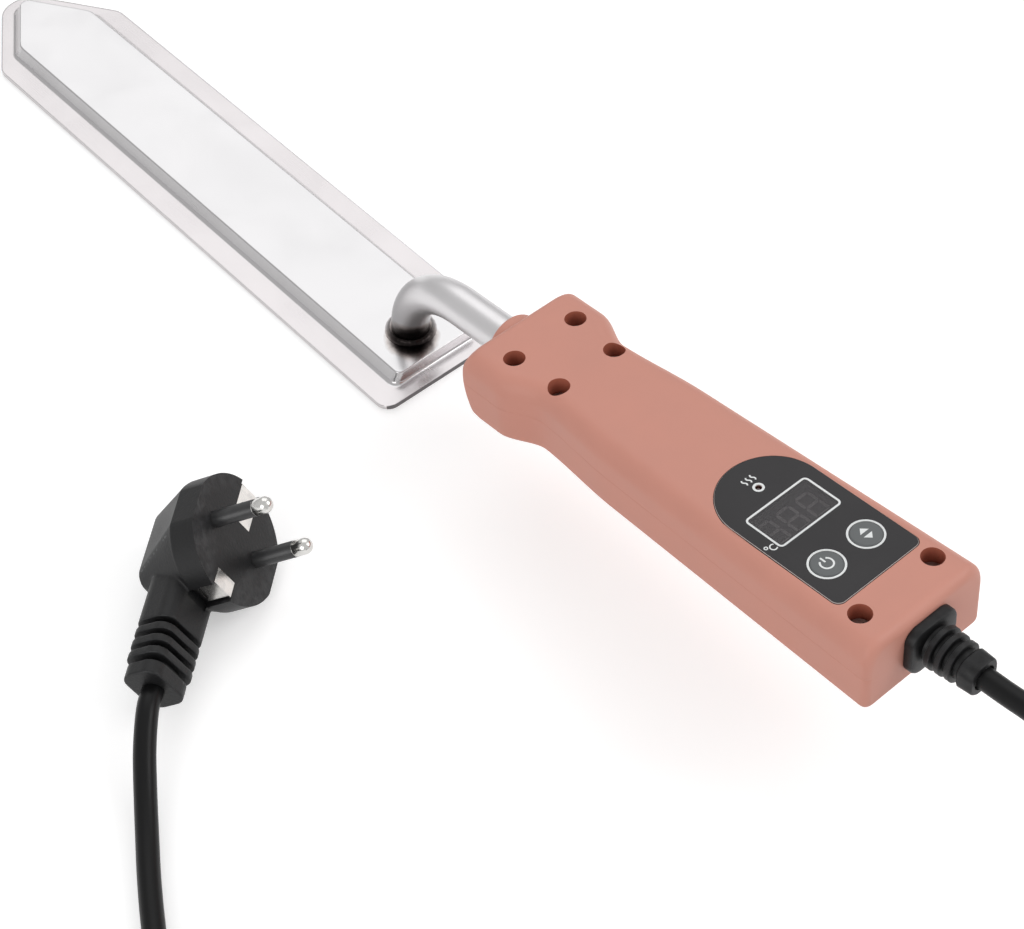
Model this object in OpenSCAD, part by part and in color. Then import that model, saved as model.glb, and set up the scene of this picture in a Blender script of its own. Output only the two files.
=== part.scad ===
// Electric hot knife: flat heated blade, bent tube neck, controller handle, mains cord and plug.
// X runs from the cord's end to the blade's tip, Z is up, and the blade's underside is at Z = 0.

/* [Blade] */
// Width across the two edges
blade_w = 50; // [40:1:60]
// Length from the rear edge to the shoulders
blade_straight = 214; // [160:1:260]
// Run from the shoulders to the tip's sharp point
tip_run = 38.8; // [30:0.2:46]
// Radius that rounds the tip
tip_r = 10; // [8:0.5:14]
// Radius of the rear corners
rear_corner_r = 4.5; // [2:0.5:8]
// Thickness of each of the two sheets
sheet_t = 0.9; // [0.6:0.1:1.2]
// Height of the raised panel above the underside
panel_h = 5.9; // [5:0.1:8]
// Flat flange beside the raised panel
flange_side = 7.4; // [5:0.1:9]
// Flat flange along the tip
flange_tip = 4.5; // [3:0.1:6]
// Flat flange along the rear edge
flange_rear = 5.4; // [4:0.1:8]
// Sideways run of the panel's sloping walls
flank_run = 2.7; // [1.5:0.1:4]
// Run of the panel's steep rear wall
rear_run = 0.5; // [0.2:0.1:2]

/* [Neck] */
// Outside diameter of the tube
stem_d = 12; // [10:0.5:12]
// Wall of the tube
stem_wall = 1; // [0.8:0.1:1.5]
// Distance from the blade's rear edge to the tube's foot
stem_x = 18.3; // [14:0.1:26]
// Centreline radius of the bend
stem_bend_r = 29.6; // [26:0.2:40]
// Straight run between the bend and the handle
stem_run = 26.4; // [18:0.2:40]
// Length of tube inside the handle
stem_in = 46; // [44:1:60]

/* [Handle] */
// Rise of the handle toward its rear, in degrees
handle_pitch = 6; // [0:0.5:12]
// Length from the front edge to the rear face
handle_len = 151; // [148:1:175]
// Thickness from the top face to the bottom
handle_t = 22; // [21:0.5:26]
// Width of the guard at the front
guard_w = 41.8; // [38:0.2:46]
// Length of the guard
guard_len = 12.5; // [9:0.5:16]
// Width of the neck behind the guard
neck_w = 32; // [31:0.2:36]
// Distance from the front edge to the neck
neck_x = 27; // [24:0.5:32]
// Length over which the neck swells into the grip
neck_blend = 29; // [20:1:40]
// Width of the grip's straight taper at its front
grip_front_w = 34.8; // [33:0.2:40]
// Width of the grip at its rear
grip_rear_w = 42.6; // [40:0.2:50]
// Radius along the top edges
top_r = 6; // [4:0.5:8]
// Radius along the bottom edges
bottom_r = 2.6; // [2:0.2:4]
// Radius round the rear face
rear_r = 3.2; // [2:0.2:4]
// How far the front face swells forward at its middle
front_bulge = 3.2; // [0:0.2:4]
// Wall of the shells
wall = 2.2; // [1.8:0.1:2.6]

/* [Screw wells] */
// Diameter of the wells
well_d = 6.3; // [6:0.1:7]
// Depth of the wells
well_depth = 7; // [5:0.5:8]
// Distance of the first pair from the front edge
well_x1 = 11; // [9:0.5:13]
// Half the spacing of the first pair
well_y1 = 11.4; // [11:0.1:13]
// Distance of the second pair from the front edge
well_x2 = 28.3; // [26:0.1:30]
// Half the spacing of the second pair
well_y2 = 10.3; // [10.2:0.1:11]
// Distance of the rear pair from the rear face
well_end = 10; // [9:0.5:12]
// Half the spacing of the rear pair
well_y3 = 13.1; // [12.8:0.1:14]

/* [Control panel] */
// Half the width of the label plate
panel_half = 15.2; // [14.8:0.1:15.6]
// Distance of the label plate's rear edge from the handle's rear face
panel_end = 15.1; // [14:0.1:16]
// Length of the label plate
panel_len = 51.9; // [51:0.1:54]
// Thickness of the label plate
overlay_t = 0.4; // [0.3:0.05:0.6]
// Width of the display window, across the handle
window_w = 21; // [18:0.5:22]
// Height of the display window, along the handle
window_h = 12; // [10:0.5:12]
// Distance of the window's middle from the label plate's rear edge
window_in = 29.7; // [29:0.1:31]
// Distance of the lamp from the label plate's rear edge
lamp_in = 42; // [41:0.1:43]
// Diameter of the lamp
lamp_d = 3; // [2.6:0.1:3.4]
// Distance of the buttons from the label plate's rear edge
button_in = 11.5; // [11:0.1:12]
// Half the spacing of the buttons
button_y = 7.1; // [6.8:0.1:7.3]
// Diameter of a button's cap
button_d = 8.6; // [8:0.1:8.8]
// Travel of the buttons
button_travel = 0.4; // [0.2:0.05:0.5]

/* [Cord and plug] */
// Diameter of the cord
cord_d = 6.2; // [5.8:0.1:6.4]
// Length of the ribbed strain relief outside the handle
gland_len = 18.5; // [16:0.5:24]
// Turns in each of the coil's two layers
coil_turns = 2.375; // [1.375:1:3.375]
// Diameter of the plug's face
plug_d = 38; // [36:0.5:40]
// Width across the plug's flat sides
plug_flat_w = 36; // [34:0.5:37]
// Depth of the plug's face disc
plug_disc_t = 8; // [7:0.5:9]
// Depth of the plug from face to back
plug_depth = 26; // [24:0.5:28]
// Slope of the plug's side against its pins, in degrees
plug_flank = 30; // [26:1:32]
// Distance from the face's middle to the strain relief's end
plug_reach = 47; // [44:0.5:52]
// Diameter of a pin
pin_d = 4.8; // [4.8:0.1:4.8]
// Length of a pin
pin_len = 19; // [19:0.5:19]
// Spacing of the pins
pin_gap = 19; // [19:0.5:19]

/* [Hidden] */
$fn = 48;

// Clearances and overlaps
overrun = 1;
fuse = 0.6;
fit_gap = 0.06;
slide_gap = 0.08;
loose_gap = 0.3;
skin = 0.02;
elbow_share = 1.05;

// Heater pack
mica_t = 0.4;
ribbon_t = 0.5;
ribbon_w = 2.6;
ribbon_rows = [0.5, 1.5, 2.5];
mica_half = blade_w / 2 - flange_side - flank_run - sheet_t;
mica_rear = 8;
mica_front = blade_straight - mica_rear;
mica_edge = 0.7;
heater_end = 5;
heater_x0 = mica_rear + heater_end;
heater_x1 = mica_front - 2 * heater_end;
ribbon_pitch = (mica_half - mica_edge - ribbon_w / 2) / ribbon_rows[2];
pad_half = mica_half - mica_edge;
pad_hole_r = 4.9;
sensor_r = 1.1;
sensor_x0 = 34;
sensor_len = 10;
sensor_slot = 3.6;
heater_z = sheet_t + mica_t;
mica_top = heater_z + ribbon_t + mica_t;
panel_under = panel_h - sheet_t;

// Leads in the tube: offset from the tube's axis toward the bend's outside, and sideways
lead_r = 0.8;
lead_rho = -1.2;
lead_y = ribbon_pitch / 2;
thin_r = 0.45;
thin_rho = -3;
thin_y = 0.6;

// Blade outline
tip_half_angle = atan(blade_w / 2 / tip_run);
tip_sharp = blade_straight + tip_run;
tip_round_x = tip_sharp - tip_r / sin(tip_half_angle);
tip_x = tip_sharp - tip_r * (1 / sin(tip_half_angle) - 1);
foot_corner_r = 3;
top_corner_r = 2;

// Tube and handle placement
stem_r = stem_d / 2;
stem_bore = stem_r - stem_wall;
stem_sides = 32;
stem_steps = 12;
lead_sides = 8;
bend_angle = 90 - handle_pitch;
front_x = stem_x - stem_bend_r * (1 - cos(bend_angle)) - stem_run * cos(handle_pitch);
front_z = panel_h + stem_bend_r * sin(bend_angle) + stem_run * sin(handle_pitch);
weld_w = 2;
weld_h = 1.5;
weld_lip = 0.15;
collar_r = 8.3;
collar_t = 4;
collar_x = 36.5;

// Handle sections
half_t = handle_t / 2;
roof = half_t - wall;
guard_corner_r = 2.6;
front_top_r = 1.4;
front_bottom_r = 4.5;
front_wall = 3;
rear_wall = 2.6;
arc_steps = 6;
end_steps = 5;
bend_steps = 9;
blend_steps = 7;
cavity_steps = 9;
cavity_arc_steps = 3;
cavity_corner_share = 0.5;
spacing_share = 0.4;
rib_t = 2.4;
rib_xs = [5, 19.6, 33, 40];
boss_r = 3.4;
well_boss_r = 4.4;
well_skin = 1.4;
boss_front_r = 9;
boss_front_reach = 5.2;
boss_front_edge = 1.4;
boss_front_root = 2;

// Case screws
screw_head_r = 2.75;
screw_head_h = 2;
screw_r = 1.45;
screw_len = 11;
screw_slot_w = 0.8;
screw_slot_h = 0.9;
screw_slot_l = 3.6;
well_x3 = handle_len - well_end;
well_spots = [[-well_x1, well_y1], [-well_x2, well_y2], [-well_x3, well_y3]];
well_floor = half_t - well_depth;

// Control panel, board and what stands on it
panel_rear = handle_len - panel_end;
window_x = panel_rear - window_in;
lamp_x = panel_rear - lamp_in;
button_x = panel_rear - button_in;
recess = 0.2;
overlay_corner_r = 2.5;
overlay_gap = 0.2;
overlay_z = half_t - recess;
window_ledge = 0.7;
window_corner_r = 0.8;
display_h = 6.2;
display_w = 22.6;
display_l = 14.4;
display_gap = 0.2;
digit_count = 3;
digit_w = 4.4;
digit_l = 8;
digit_stroke = 0.9;
digit_pitch = 7;
digit_deep = 0.3;
board_t = 1.6;
board_top = roof - display_gap - display_h;
board_under = board_top - board_t;
board_end = 2.3;
board_len = 52.6;
board_rear = panel_rear - board_end;
board_front = board_rear - board_len;
lead_in = 7;
thin_in = 4.5;
lead_reach = board_front + lead_in;
thin_reach = board_front + thin_in;
board_half = 14.2;
board_corner_r = 1.5;
post_r = 2.3;
post_in = [5, 2.6];
post_y = [11.7, 12];
post_spots = [[-board_front - post_in[0], post_y[0]], [-board_rear + post_in[1], post_y[1]]];
small_screw_r = 0.8;
small_screw_len = 5.5;
small_head_r = 1.8;
small_head_h = 1.2;
lamp_low = 4.6;
lamp_leg_r = 0.3;
lamp_leg_y = 0.9;
lamp_gap = 0.15;
lamp_flange_r = 1.8;
lamp_flange_h = 0.8;
button_proud = 0.35;
button_dome = 0.5;
button_flange_r = 5.2;
button_flange_t = 0.8;
button_hang = 0.08;
button_stem_r = 1.6;
button_stem_in = 0.9;
switch_w = 6;
switch_h = 3.4;
switch_bore_gap = 0.12;
switch_corner_r = 0.6;
chip_size = [10, 4.4, 1.6];
chip_in = 10.2;
chip_x = board_front + chip_in;
chip_y = -5.5;
triac_size = [9.2, 10, 4.5];
triac_tab = [6.2, 10, 1.3];
triac_hole_r = 1.8;
triac_in = 34;
triac_x = board_front + triac_in;
triac_y = -3.2;
film_size = [18, 8, 7.4];
film_in = 23;
film_x = board_front + film_in;
film_y = 8.8;
film_r = 1;
bulk_r = 3.6;
bulk_len = 12;
bulk_in = 16;
bulk_x = board_front + bulk_in;
bulk_y = -2.8;
bulk_rim = 0.5;
fuse_r = 2.5;
fuse_len = 20;
fuse_cap = 5.5;
fuse_cap_t = 0.2;
fuse_in = 24;
fuse_x = board_front + fuse_in;
fuse_y = -11.3;

// Cord anchorage and strain relief
inner_end = 5;
inner_len = 10.5;
inner_x0 = handle_len - inner_end;
inner_x1 = inner_x0 - inner_len;
clamp_end = 11.4;
clamp_x = handle_len - clamp_end;
clamp_size = [5, 16, 2.4];
clamp_post_y = 6;
clamp_post_r = 2;
clamp_gap = 0.1;
saddle_t = 5;
core_r = 0.95;
core_y = 1.7;
core_z = -0.4;
earth_core_z = -2;
core_in = 4.6;
core_rise_x = board_rear - core_in;
core_spread = 3.2;
earth_y = 14.2;
earth_z = -6.4;
earth_in = 3.6;
earth_turn_x = board_rear - earth_in;
earth_end = 2;
earth_end_x = stem_in - earth_end;
flange_w = 16.5;
flange_h = 15;
flange_corner_r = 4;
flange_t = 3;
gland_neck_r = 4.4;
gland_inner_r = 6;
gland_inner_t = 2;
gland_core_r1 = 4.8;
gland_core_r2 = 4.2;
gland_rib_r1 = 6.5;
gland_rib_r2 = 5.6;
gland_end_r = 5.5;
gland_ribs = 4;
gland_end_t = 3.5;
gland_rib_share = 0.55;

// Where the whole is centred along X
gland_x = front_x - (handle_len + gland_len) * cos(handle_pitch);
gland_z = front_z + (handle_len + gland_len) * sin(handle_pitch);
mid_x = (tip_x + gland_x - gland_end_r * sin(handle_pitch)) / 2;

// Cord's route in the part's own frame
cord_r = cord_d / 2;
cord_sides = 10;
coil_sides = 6;
turn_rings = 24;
coil_gap = 0.6;
coil_pitch = cord_d + coil_gap;
coil_mid_r = 35.5;
coil_at = [-245, 128];
tie_t = 0.9;
tie_gap = 0.25;
tie_w = 9;
tie_r = 2.6;
tie_angle = 20;
coil_z0 = tie_t + tie_gap + cord_r;
coil_z1 = coil_z0 + coil_pitch;
coil_out_r = coil_mid_r + coil_pitch * coil_turns / 2;
coil_in_r = coil_mid_r - coil_pitch * coil_turns / 2;
coil_start = 180;
coil_end = coil_start - 360 * (2 * coil_turns + 0.5);
lead_start = [gland_x - mid_x, 0, gland_z];
lead_dir = [-cos(handle_pitch), 0, sin(handle_pitch)];
lead_points = [[-252, 2, 57.2], [-266, 8.5, 53], [-277, 20, 45], [-284, 34, 34.5], [-288, 50, 24],
    [-289, 67, 16], [-289, 84, 12.4], [-288.7, 101, 11.4]];
tail_points = [[-219, 172.3, 4], [-200, 176, 3.4], [-182, 182, 3.3], [-164, 187.5, 3.3], [-146, 188.5, 3.3],
    [-130, 184.5, 3.3], [-116, 177, 3.3], [-105, 170.5, 3.4], [-95, 164, 4.2], [-85, 157.2, 6.3],
    [-76, 150.6, 9.4]];

// Plug
plug_at = [-43, 95];
plug_turn = 131;
plug_tilt = 90 - plug_flank;
plug_back_half = plug_flat_w / 2 - (plug_depth - plug_disc_t) * tan(plug_flank);
plug_back_long = 13;
plug_back_r = 4;
plug_lift = plug_flat_w / 2 * cos(plug_flank) + plug_disc_t * sin(plug_flank) + skin;
trunk_z = -15;
trunk_w = 17;
trunk_h = 13;
trunk_r = 4;
trunk_core_w = 9.6;
trunk_core_h = 8.4;
trunk_core_r = 3;
trunk_root = 8;
trunk_x1 = 29;
rib_count = 3;
plug_rib_t = 2.3;
plug_rib_gap = 1.7;
plug_end_step = 1;
pin_root = 5;
pin_collar = 0.4;
clip_notch_w = 8;
clip_notch_d = 2.6;
clip_w = 6;
clip_t = 1;
clip_len = 7;
clip_face = 4;
strap_in = 13.4;
strap_t = 0.5;
strap_w = 7.4;
socket_x = -10.4;
socket_r = 2.45;
socket_wall = 0.9;
socket_deep = 12;
socket_floor = 1;

// Shared formulas
function mix(a, b, t) = a + (b - a) * t;
function smooth(t) = let (c = min(1, max(0, t))) c * c * (3 - 2 * c);
function end_inset(d, r) = d >= r ? 0 : r - sqrt(r * r - (r - d) * (r - d));
function half_width(x) =
    -x < guard_len ? guard_w / 2 :
    -x < neck_x ? mix(guard_w, neck_w, smooth((-x - guard_len) / (neck_x - guard_len))) / 2 :
    (mix(grip_front_w, grip_rear_w, (-x - neck_x) / (handle_len - neck_x))
        - (grip_front_w - neck_w) * (1 - smooth((-x - neck_x) / neck_blend))) / 2;
function bulge(x, z) = front_bulge * (1 - pow(z / half_t, 2)) * smooth(1 + x / guard_len);

// Half section from the right of the parting plane over the top to the left
function half_section(w, h, r, low, n) = concat([[-w, low]],
    [for (k = [0 : n]) [-(w - r) - r * cos(90 * k / n), h - r + r * sin(90 * k / n)]],
    [for (k = [0 : n]) [w - r + r * sin(90 * k / n), h - r + r * cos(90 * k / n)]], [[w, low]]);

shell_xs = concat(
    [for (i = [0 : end_steps]) -guard_corner_r * (1 - cos(90 * i / end_steps))],
    [for (i = [0 : bend_steps]) -mix(guard_len, neck_x, i / bend_steps)],
    [for (i = [1 : blend_steps]) -neck_x - neck_blend * i / blend_steps],
    [for (i = [0 : end_steps]) -handle_len + rear_r * (1 - sin(90 * i / end_steps))]);
cavity_xs = [for (i = [0 : cavity_steps]) let (s = i / cavity_steps)
    -mix(front_wall, handle_len - rear_wall, s * mix(s, 1, spacing_share))];

function shell_ring(x, r, front_r) = let (
        rear = end_inset(x + handle_len, rear_r),
        w = half_width(x) - end_inset(-x, guard_corner_r) - rear,
        h = half_t - end_inset(-x, front_r) - rear)
    [for (p = half_section(w, h, r, 0, arc_steps)) [x + bulge(x, p[1]), p[0], p[1]]];
function cavity_ring(x, r) =
    [for (p = half_section(half_width(x) - wall, roof, r, -overrun, cavity_arc_steps)) [x, p[0], p[1]]];

// Closed loft through rings that all have the same number of points, mirrored across Y
module loft(rings) {
    m = len(rings[0]);
    n = len(rings);
    sides = [for (i = [0 : n - 2], j = [0 : m - 1]) let (
            a = i * m + j,
            b = i * m + (j + 1) % m,
            c = b + m,
            d = a + m)
        each [[a, c, b], [a, d, c]]];
    front = [for (j = [0 : m / 2 - 2]) each [[j, j + 1, m - 2 - j], [j, m - 2 - j, m - 1 - j]]];
    back = [for (f = front) [for (k = [2 : -1 : 0]) f[k] + (n - 1) * m]];
    polyhedron(points = [for (r = rings) each r], faces = concat(sides, front, back));
}

// Tube swept through points, with rings square to the route
module tube(path, r, n) {
    last = len(path) - 1;
    tangents = [for (i = [0 : last]) let (v = path[min(i + 1, last)] - path[max(i - 1, 0)]) v / norm(v)];
    points = [for (i = [0 : last]) let (
            side = cross(tangents[i], [0, 0, 1]) / norm(cross(tangents[i], [0, 0, 1])),
            up = cross(side, tangents[i]))
        for (k = [0 : n - 1]) path[i] + r * (cos(360 * k / n) * side + sin(360 * k / n) * up)];
    sides = [for (i = [0 : last - 1], j = [0 : n - 1]) let (
            a = i * n + j,
            b = i * n + (j + 1) % n,
            c = b + n,
            d = a + n)
        each [[a, b, c], [a, c, d]]];
    polyhedron(points = points, faces = concat(sides, [[for (j = [n - 1 : -1 : 0]) j]],
        [[for (j = [0 : n - 1]) last * n + j]]));
}

// Smooth route through hand-set points
function spline_at(p, i, t) = let (
        a = p[max(i - 1, 0)], b = p[i], c = p[i + 1], d = p[min(i + 2, len(p) - 1)])
    (2 * b + (c - a) * t + (2 * a - 5 * b + 4 * c - d) * t * t + (3 * b - a - 3 * c + d) * t * t * t) / 2;
function spline(p, n) = concat([for (i = [0 : len(p) - 2], k = [0 : n - 1]) spline_at(p, i, k / n)],
    [p[len(p) - 1]]);

// Coil: in on the upper layer, down in the half turn where it reverses, out on the lower layer
function coil_r(t) = coil_out_r - coil_pitch * (
    t < coil_turns + 0.25 ? t : 2 * coil_turns + 0.5 - t);
function coil_point(t) = let (a = coil_start - 360 * t)
    [coil_at[0] + coil_r(t) * cos(a), coil_at[1] + coil_r(t) * sin(a),
        mix(coil_z1, coil_z0, smooth((t - coil_turns) / 0.5))];
coil_steps = round(turn_rings * (2 * coil_turns + 0.5));
coil_loops = [for (i = [0 : coil_steps]) coil_point((2 * coil_turns + 0.5) * i / coil_steps)];
coil_way_in = [sin(coil_start), -cos(coil_start), 0];
coil_way_out = [sin(coil_end), -cos(coil_end), 0];
coil_path = concat([coil_loops[0] - cord_d * coil_way_in], coil_loops,
    [coil_loops[coil_steps] + cord_d * coil_way_out]);
coil_last = len(coil_path) - 1;

function plug_point(p) = let (
        y = p[1] * cos(plug_tilt) + p[2] * sin(plug_tilt),
        z = -p[1] * sin(plug_tilt) + p[2] * cos(plug_tilt))
    [plug_at[0] + p[0] * cos(plug_turn) - y * sin(plug_turn),
        plug_at[1] + p[0] * sin(plug_turn) + y * cos(plug_turn), plug_lift + z];
plug_mouth = plug_point([plug_reach, 0, trunk_z]);
plug_way = [cos(plug_turn), sin(plug_turn), 0];
lead_path = spline(concat([lead_start, lead_start + cord_d * lead_dir, lead_start + 3 * cord_d * lead_dir],
    lead_points, [coil_path[0] - cord_d * coil_way_in, coil_path[0]]), 2);
tail_path = spline(concat([coil_path[coil_last], coil_path[coil_last] + cord_d * coil_way_out],
    tail_points, [plug_mouth + cord_d * plug_way, plug_mouth]), 2);
// Route with its corners eased by arcs that leave the legs at a distance r
function eased(p, r, n) = concat([p[0]], [for (i = [1 : len(p) - 2], k = [0 : n]) let (
        a = p[i] + r * (p[i - 1] - p[i]) / norm(p[i - 1] - p[i]),
        b = p[i] + r * (p[i + 1] - p[i]) / norm(p[i + 1] - p[i]))
    mix(mix(a, p[i], k / n), mix(p[i], b, k / n), k / n)], [p[len(p) - 1]]);
function route_len(p) = len(p) < 2 ? 0 : [for (i = 0, s = 0; i < len(p);
    s = s + (i + 1 < len(p) ? norm(p[i + 1] - p[i]) : 0), i = i + 1) s][len(p) - 1];
coil_gaps = [for (i = [0 : coil_last], j = [i + turn_rings / 2 : coil_last])
    norm(coil_path[i] - coil_path[j]) - cord_d];
echo("coil least gap", min(coil_gaps));
echo("cord length", route_len(lead_path) + route_len(coil_path) + route_len(tail_path));
echo("gland end", lead_start, "plug mouth", plug_mouth, "mid", mid_x, "coil", coil_out_r, coil_in_r);

// Placement
module centred() {
    translate([-mid_x, 0, 0]) children();
}

module in_handle() {
    centred() translate([front_x, 0, front_z]) rotate([0, handle_pitch, 0]) children();
}

module in_plug() {
    translate([plug_at[0], plug_at[1], plug_lift]) rotate([0, 0, plug_turn]) rotate([-plug_tilt, 0, 0])
        children();
}

module both_sides() {
    children();
    mirror([0, 1, 0]) children();
}

// Common shapes
module round_square(w, h, r) {
    square([w - 2 * r, h], center = true);
    square([w, h - 2 * r], center = true);
    for (x = [-1, 1], y = [-1, 1]) translate([x * (w / 2 - r), y * (h / 2 - r)]) circle(r = r);
}

module rod(a, b, r) {
    way = b - a;
    translate(a) rotate([0, acos(way[2] / norm(way)), atan2(way[1], way[0])]) cylinder(h = norm(way), r = r);
}

module wire(path, r) {
    for (i = [0 : len(path) - 2]) rod(path[i], path[i + 1], r);
    for (i = [1 : len(path) - 2]) translate(path[i]) sphere(r = r * elbow_share);
}

// Blade outline moved in by its own amount at the sides, the tip and the rear
module blade_core(side, tip, rear, r) {
    half = blade_w / 2 - side;
    shoulder = tip_sharp - tip / sin(tip_half_angle) - half / tan(tip_half_angle);
    touch_x = tip_round_x + (tip_r - tip) * sin(tip_half_angle);
    touch_y = (tip_r - tip) * cos(tip_half_angle);
    polygon([[rear + r, half], [shoulder, half], [touch_x, touch_y], [touch_x, -touch_y], [shoulder, -half],
        [rear + r, -half], [rear, r - half], [rear, half - r]]);
}

module blade_outline(side, tip, rear, r) {
    blade_core(side, tip, rear, r);
    translate([tip_round_x, 0]) circle(r = tip_r - tip);
    for (y = [-1, 1]) translate([rear + r, y * (blade_w / 2 - side - r)]) circle(r = r);
}

// Raised panel, or the hollow under it when drawn in by a sheet's thickness
module raised_panel(inset, low, top) {
    hull() {
        translate([0, 0, low]) linear_extrude(skin)
            blade_outline(flange_side + inset, flange_tip + inset, flange_rear + inset, foot_corner_r,
                $fn = 32);
        translate([0, 0, top - skin]) linear_extrude(skin)
            blade_outline(flange_side + flank_run + inset, flange_tip + flank_run + inset,
                flange_rear + rear_run + inset, top_corner_r, $fn = 32);
    }
}

module blade_base_plate() {
    color("gainsboro") centred() {
        linear_extrude(sheet_t) blade_core(0, 0, 0, rear_corner_r);
        translate([tip_round_x, 0, 0]) cylinder(h = sheet_t, r = tip_r);
        both_sides() translate([rear_corner_r, blade_w / 2 - rear_corner_r, 0])
            cylinder(h = sheet_t, r = rear_corner_r);
    }
}

module blade_top_plate() {
    color("silver") centred() difference() {
        union() {
            translate([0, 0, sheet_t]) linear_extrude(sheet_t) blade_outline(0, 0, 0, rear_corner_r);
            raised_panel(0, sheet_t + skin, panel_h);
        }
        raised_panel(sheet_t, sheet_t - overrun, panel_under);
        translate([stem_x, 0, 0]) cylinder(h = panel_h + overrun, r = stem_r + fit_gap);
    }
}

module heater_sheet(z, t) {
    translate([0, 0, z]) linear_extrude(t) difference() {
        translate([mica_rear, -mica_half]) square([mica_front - mica_rear, 2 * mica_half]);
        if (z > heater_z) translate([stem_x, 0]) circle(r = pad_hole_r);
    }
}

module mica_lower_sheet() {
    color("khaki") centred() heater_sheet(sheet_t, mica_t);
}

module mica_upper_sheet() {
    color("khaki") centred() heater_sheet(heater_z + ribbon_t, mica_t);
}

// Half ring that joins two runs of the ribbon
module ribbon_turn(x, y, way) {
    translate([x, y]) difference() {
        circle(r = (ribbon_pitch + ribbon_w) / 2);
        circle(r = (ribbon_pitch - ribbon_w) / 2);
        translate([-way * ribbon_pitch, 0]) square(2 * ribbon_pitch, center = true);
    }
}

module heating_element() {
    cross_x = heater_x1 + ribbon_pitch;
    outer_y = ribbon_pitch * ribbon_rows[2];
    color("dimgray") centred() translate([0, 0, heater_z]) linear_extrude(ribbon_t) {
        for (s = [-1, 1]) {
            for (k = [0, 1]) translate([heater_x0, s * ribbon_rows[k] * ribbon_pitch - ribbon_w / 2])
                square([heater_x1 - heater_x0, ribbon_w]);
            translate([heater_x0, s * outer_y - ribbon_w / 2]) square([cross_x - heater_x0, ribbon_w]);
            ribbon_turn(heater_x1, s * ribbon_pitch, 1);
            ribbon_turn(heater_x0, s * ribbon_pitch * 2, -1);
        }
        translate([cross_x - ribbon_w, -outer_y]) square([ribbon_w, 2 * outer_y]);
    }
}

module insulation_pad() {
    color("whitesmoke") centred() translate([0, 0, mica_top]) linear_extrude(panel_under - mica_top)
        difference() {
            translate([mica_rear, -pad_half]) square([mica_front - mica_rear, 2 * pad_half]);
            translate([stem_x, 0]) circle(r = pad_hole_r);
            translate([stem_x, -sensor_slot / 2]) square([sensor_x0 + sensor_len - stem_x, sensor_slot]);
        }
}

module temperature_sensor() {
    color("peru") centred() translate([sensor_x0, 0, mica_top + sensor_r + fit_gap]) rotate([0, 90, 0])
        rotate_extrude() {
            square([sensor_r, sensor_len - sensor_r]);
            intersection() {
                translate([0, sensor_len - sensor_r]) circle(r = sensor_r);
                translate([0, sensor_len - sensor_r]) square(sensor_r);
            }
        }
}

// Ring round the tube's axis or an offset from it, a degrees into the bend and s past that point
function stem_ring(a, s, rho, y, r, n) = [for (k = [0 : n - 1]) let (
        q = stem_bend_r + rho + r * cos(360 * k / n))
    [stem_x - stem_bend_r + q * cos(a) - s * sin(a), y + r * sin(360 * k / n),
        panel_h + q * sin(a) + s * cos(a)]];

// Pipe, or a solid lead where the bore is 0, from the foot up round the bend and back into the handle
module stem_sweep(rho, y, r, bore, n, low, reach) {
    stations = concat([[0, low - panel_h]], [for (i = [0 : stem_steps]) [bend_angle * i / stem_steps, 0]],
        [[bend_angle, stem_run + reach]]);
    m = len(stations) - 1;
    outer = [for (p = stations) each stem_ring(p[0], p[1], rho, y, r, n)];
    inner = bore > 0 ? [for (p = stations) each stem_ring(p[0], p[1], rho, y, bore, n)] : [];
    o = len(outer);
    skin_faces = [for (i = [0 : m - 1], j = [0 : n - 1]) let (
            a = i * n + j,
            b = i * n + (j + 1) % n)
        each [[a, b + n, b], [a, a + n, b + n]]];
    bore_faces = bore > 0 ? [for (f = skin_faces) [f[2] + o, f[1] + o, f[0] + o]] : [];
    ends = bore > 0 ? [for (j = [0 : n - 1]) let (
            b = (j + 1) % n,
            c = m * n + j,
            d = m * n + b)
        each [[j, b, b + o], [j, b + o, j + o], [c, d + o, d], [c, c + o, d + o]]] :
        [[for (j = [0 : n - 1]) j], [for (j = [n - 1 : -1 : 0]) m * n + j]];
    polyhedron(points = concat(outer, inner), faces = concat(skin_faces, bore_faces, ends));
}

module stem_tube() {
    color("lightsteelblue") centred() stem_sweep(0, 0, stem_r, stem_bore, stem_sides, panel_under, stem_in);
}

module weld_collar() {
    color("slategray") centred() translate([stem_x, 0, panel_h]) rotate_extrude() difference() {
        translate([stem_r + fit_gap, 0]) square([weld_w, weld_h]);
        translate([stem_r + fit_gap + weld_w, weld_h + weld_lip]) circle(r = weld_h);
    }
}

// Lead that rises through the tube and runs on under the board
module stem_lead(rho, y, r, low, reach) {
    centred() stem_sweep(rho, y, r, 0, lead_sides, low, reach);
    in_handle() translate([-reach, y, rho]) {
        sphere(r = r * elbow_share);
        cylinder(h = board_under - rho, r = r);
    }
}

module heater_leads() {
    color("ivory") for (s = [-1, 1]) stem_lead(lead_rho, s * lead_y, lead_r, heater_z + ribbon_t, lead_reach);
}

module sensor_leads() {
    low = mica_top + sensor_r + fit_gap;
    color("gold") for (s = [-1, 1]) {
        stem_lead(thin_rho, s * thin_y, thin_r, low, thin_reach);
        centred() translate([stem_x + thin_rho, s * thin_y, low]) {
            sphere(r = thin_r * elbow_share);
            rotate([0, 90, 0]) cylinder(h = sensor_x0 - stem_x - thin_rho, r = thin_r);
        }
    }
}

// Hollow half of the handle, drawn above the parting plane
module half_shell(edge_r, front_r) {
    difference() {
        loft([for (x = shell_xs) shell_ring(x, edge_r, front_r)]);
        loft([for (x = cavity_xs) cavity_ring(x, edge_r * cavity_corner_share)]);
    }
}

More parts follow.
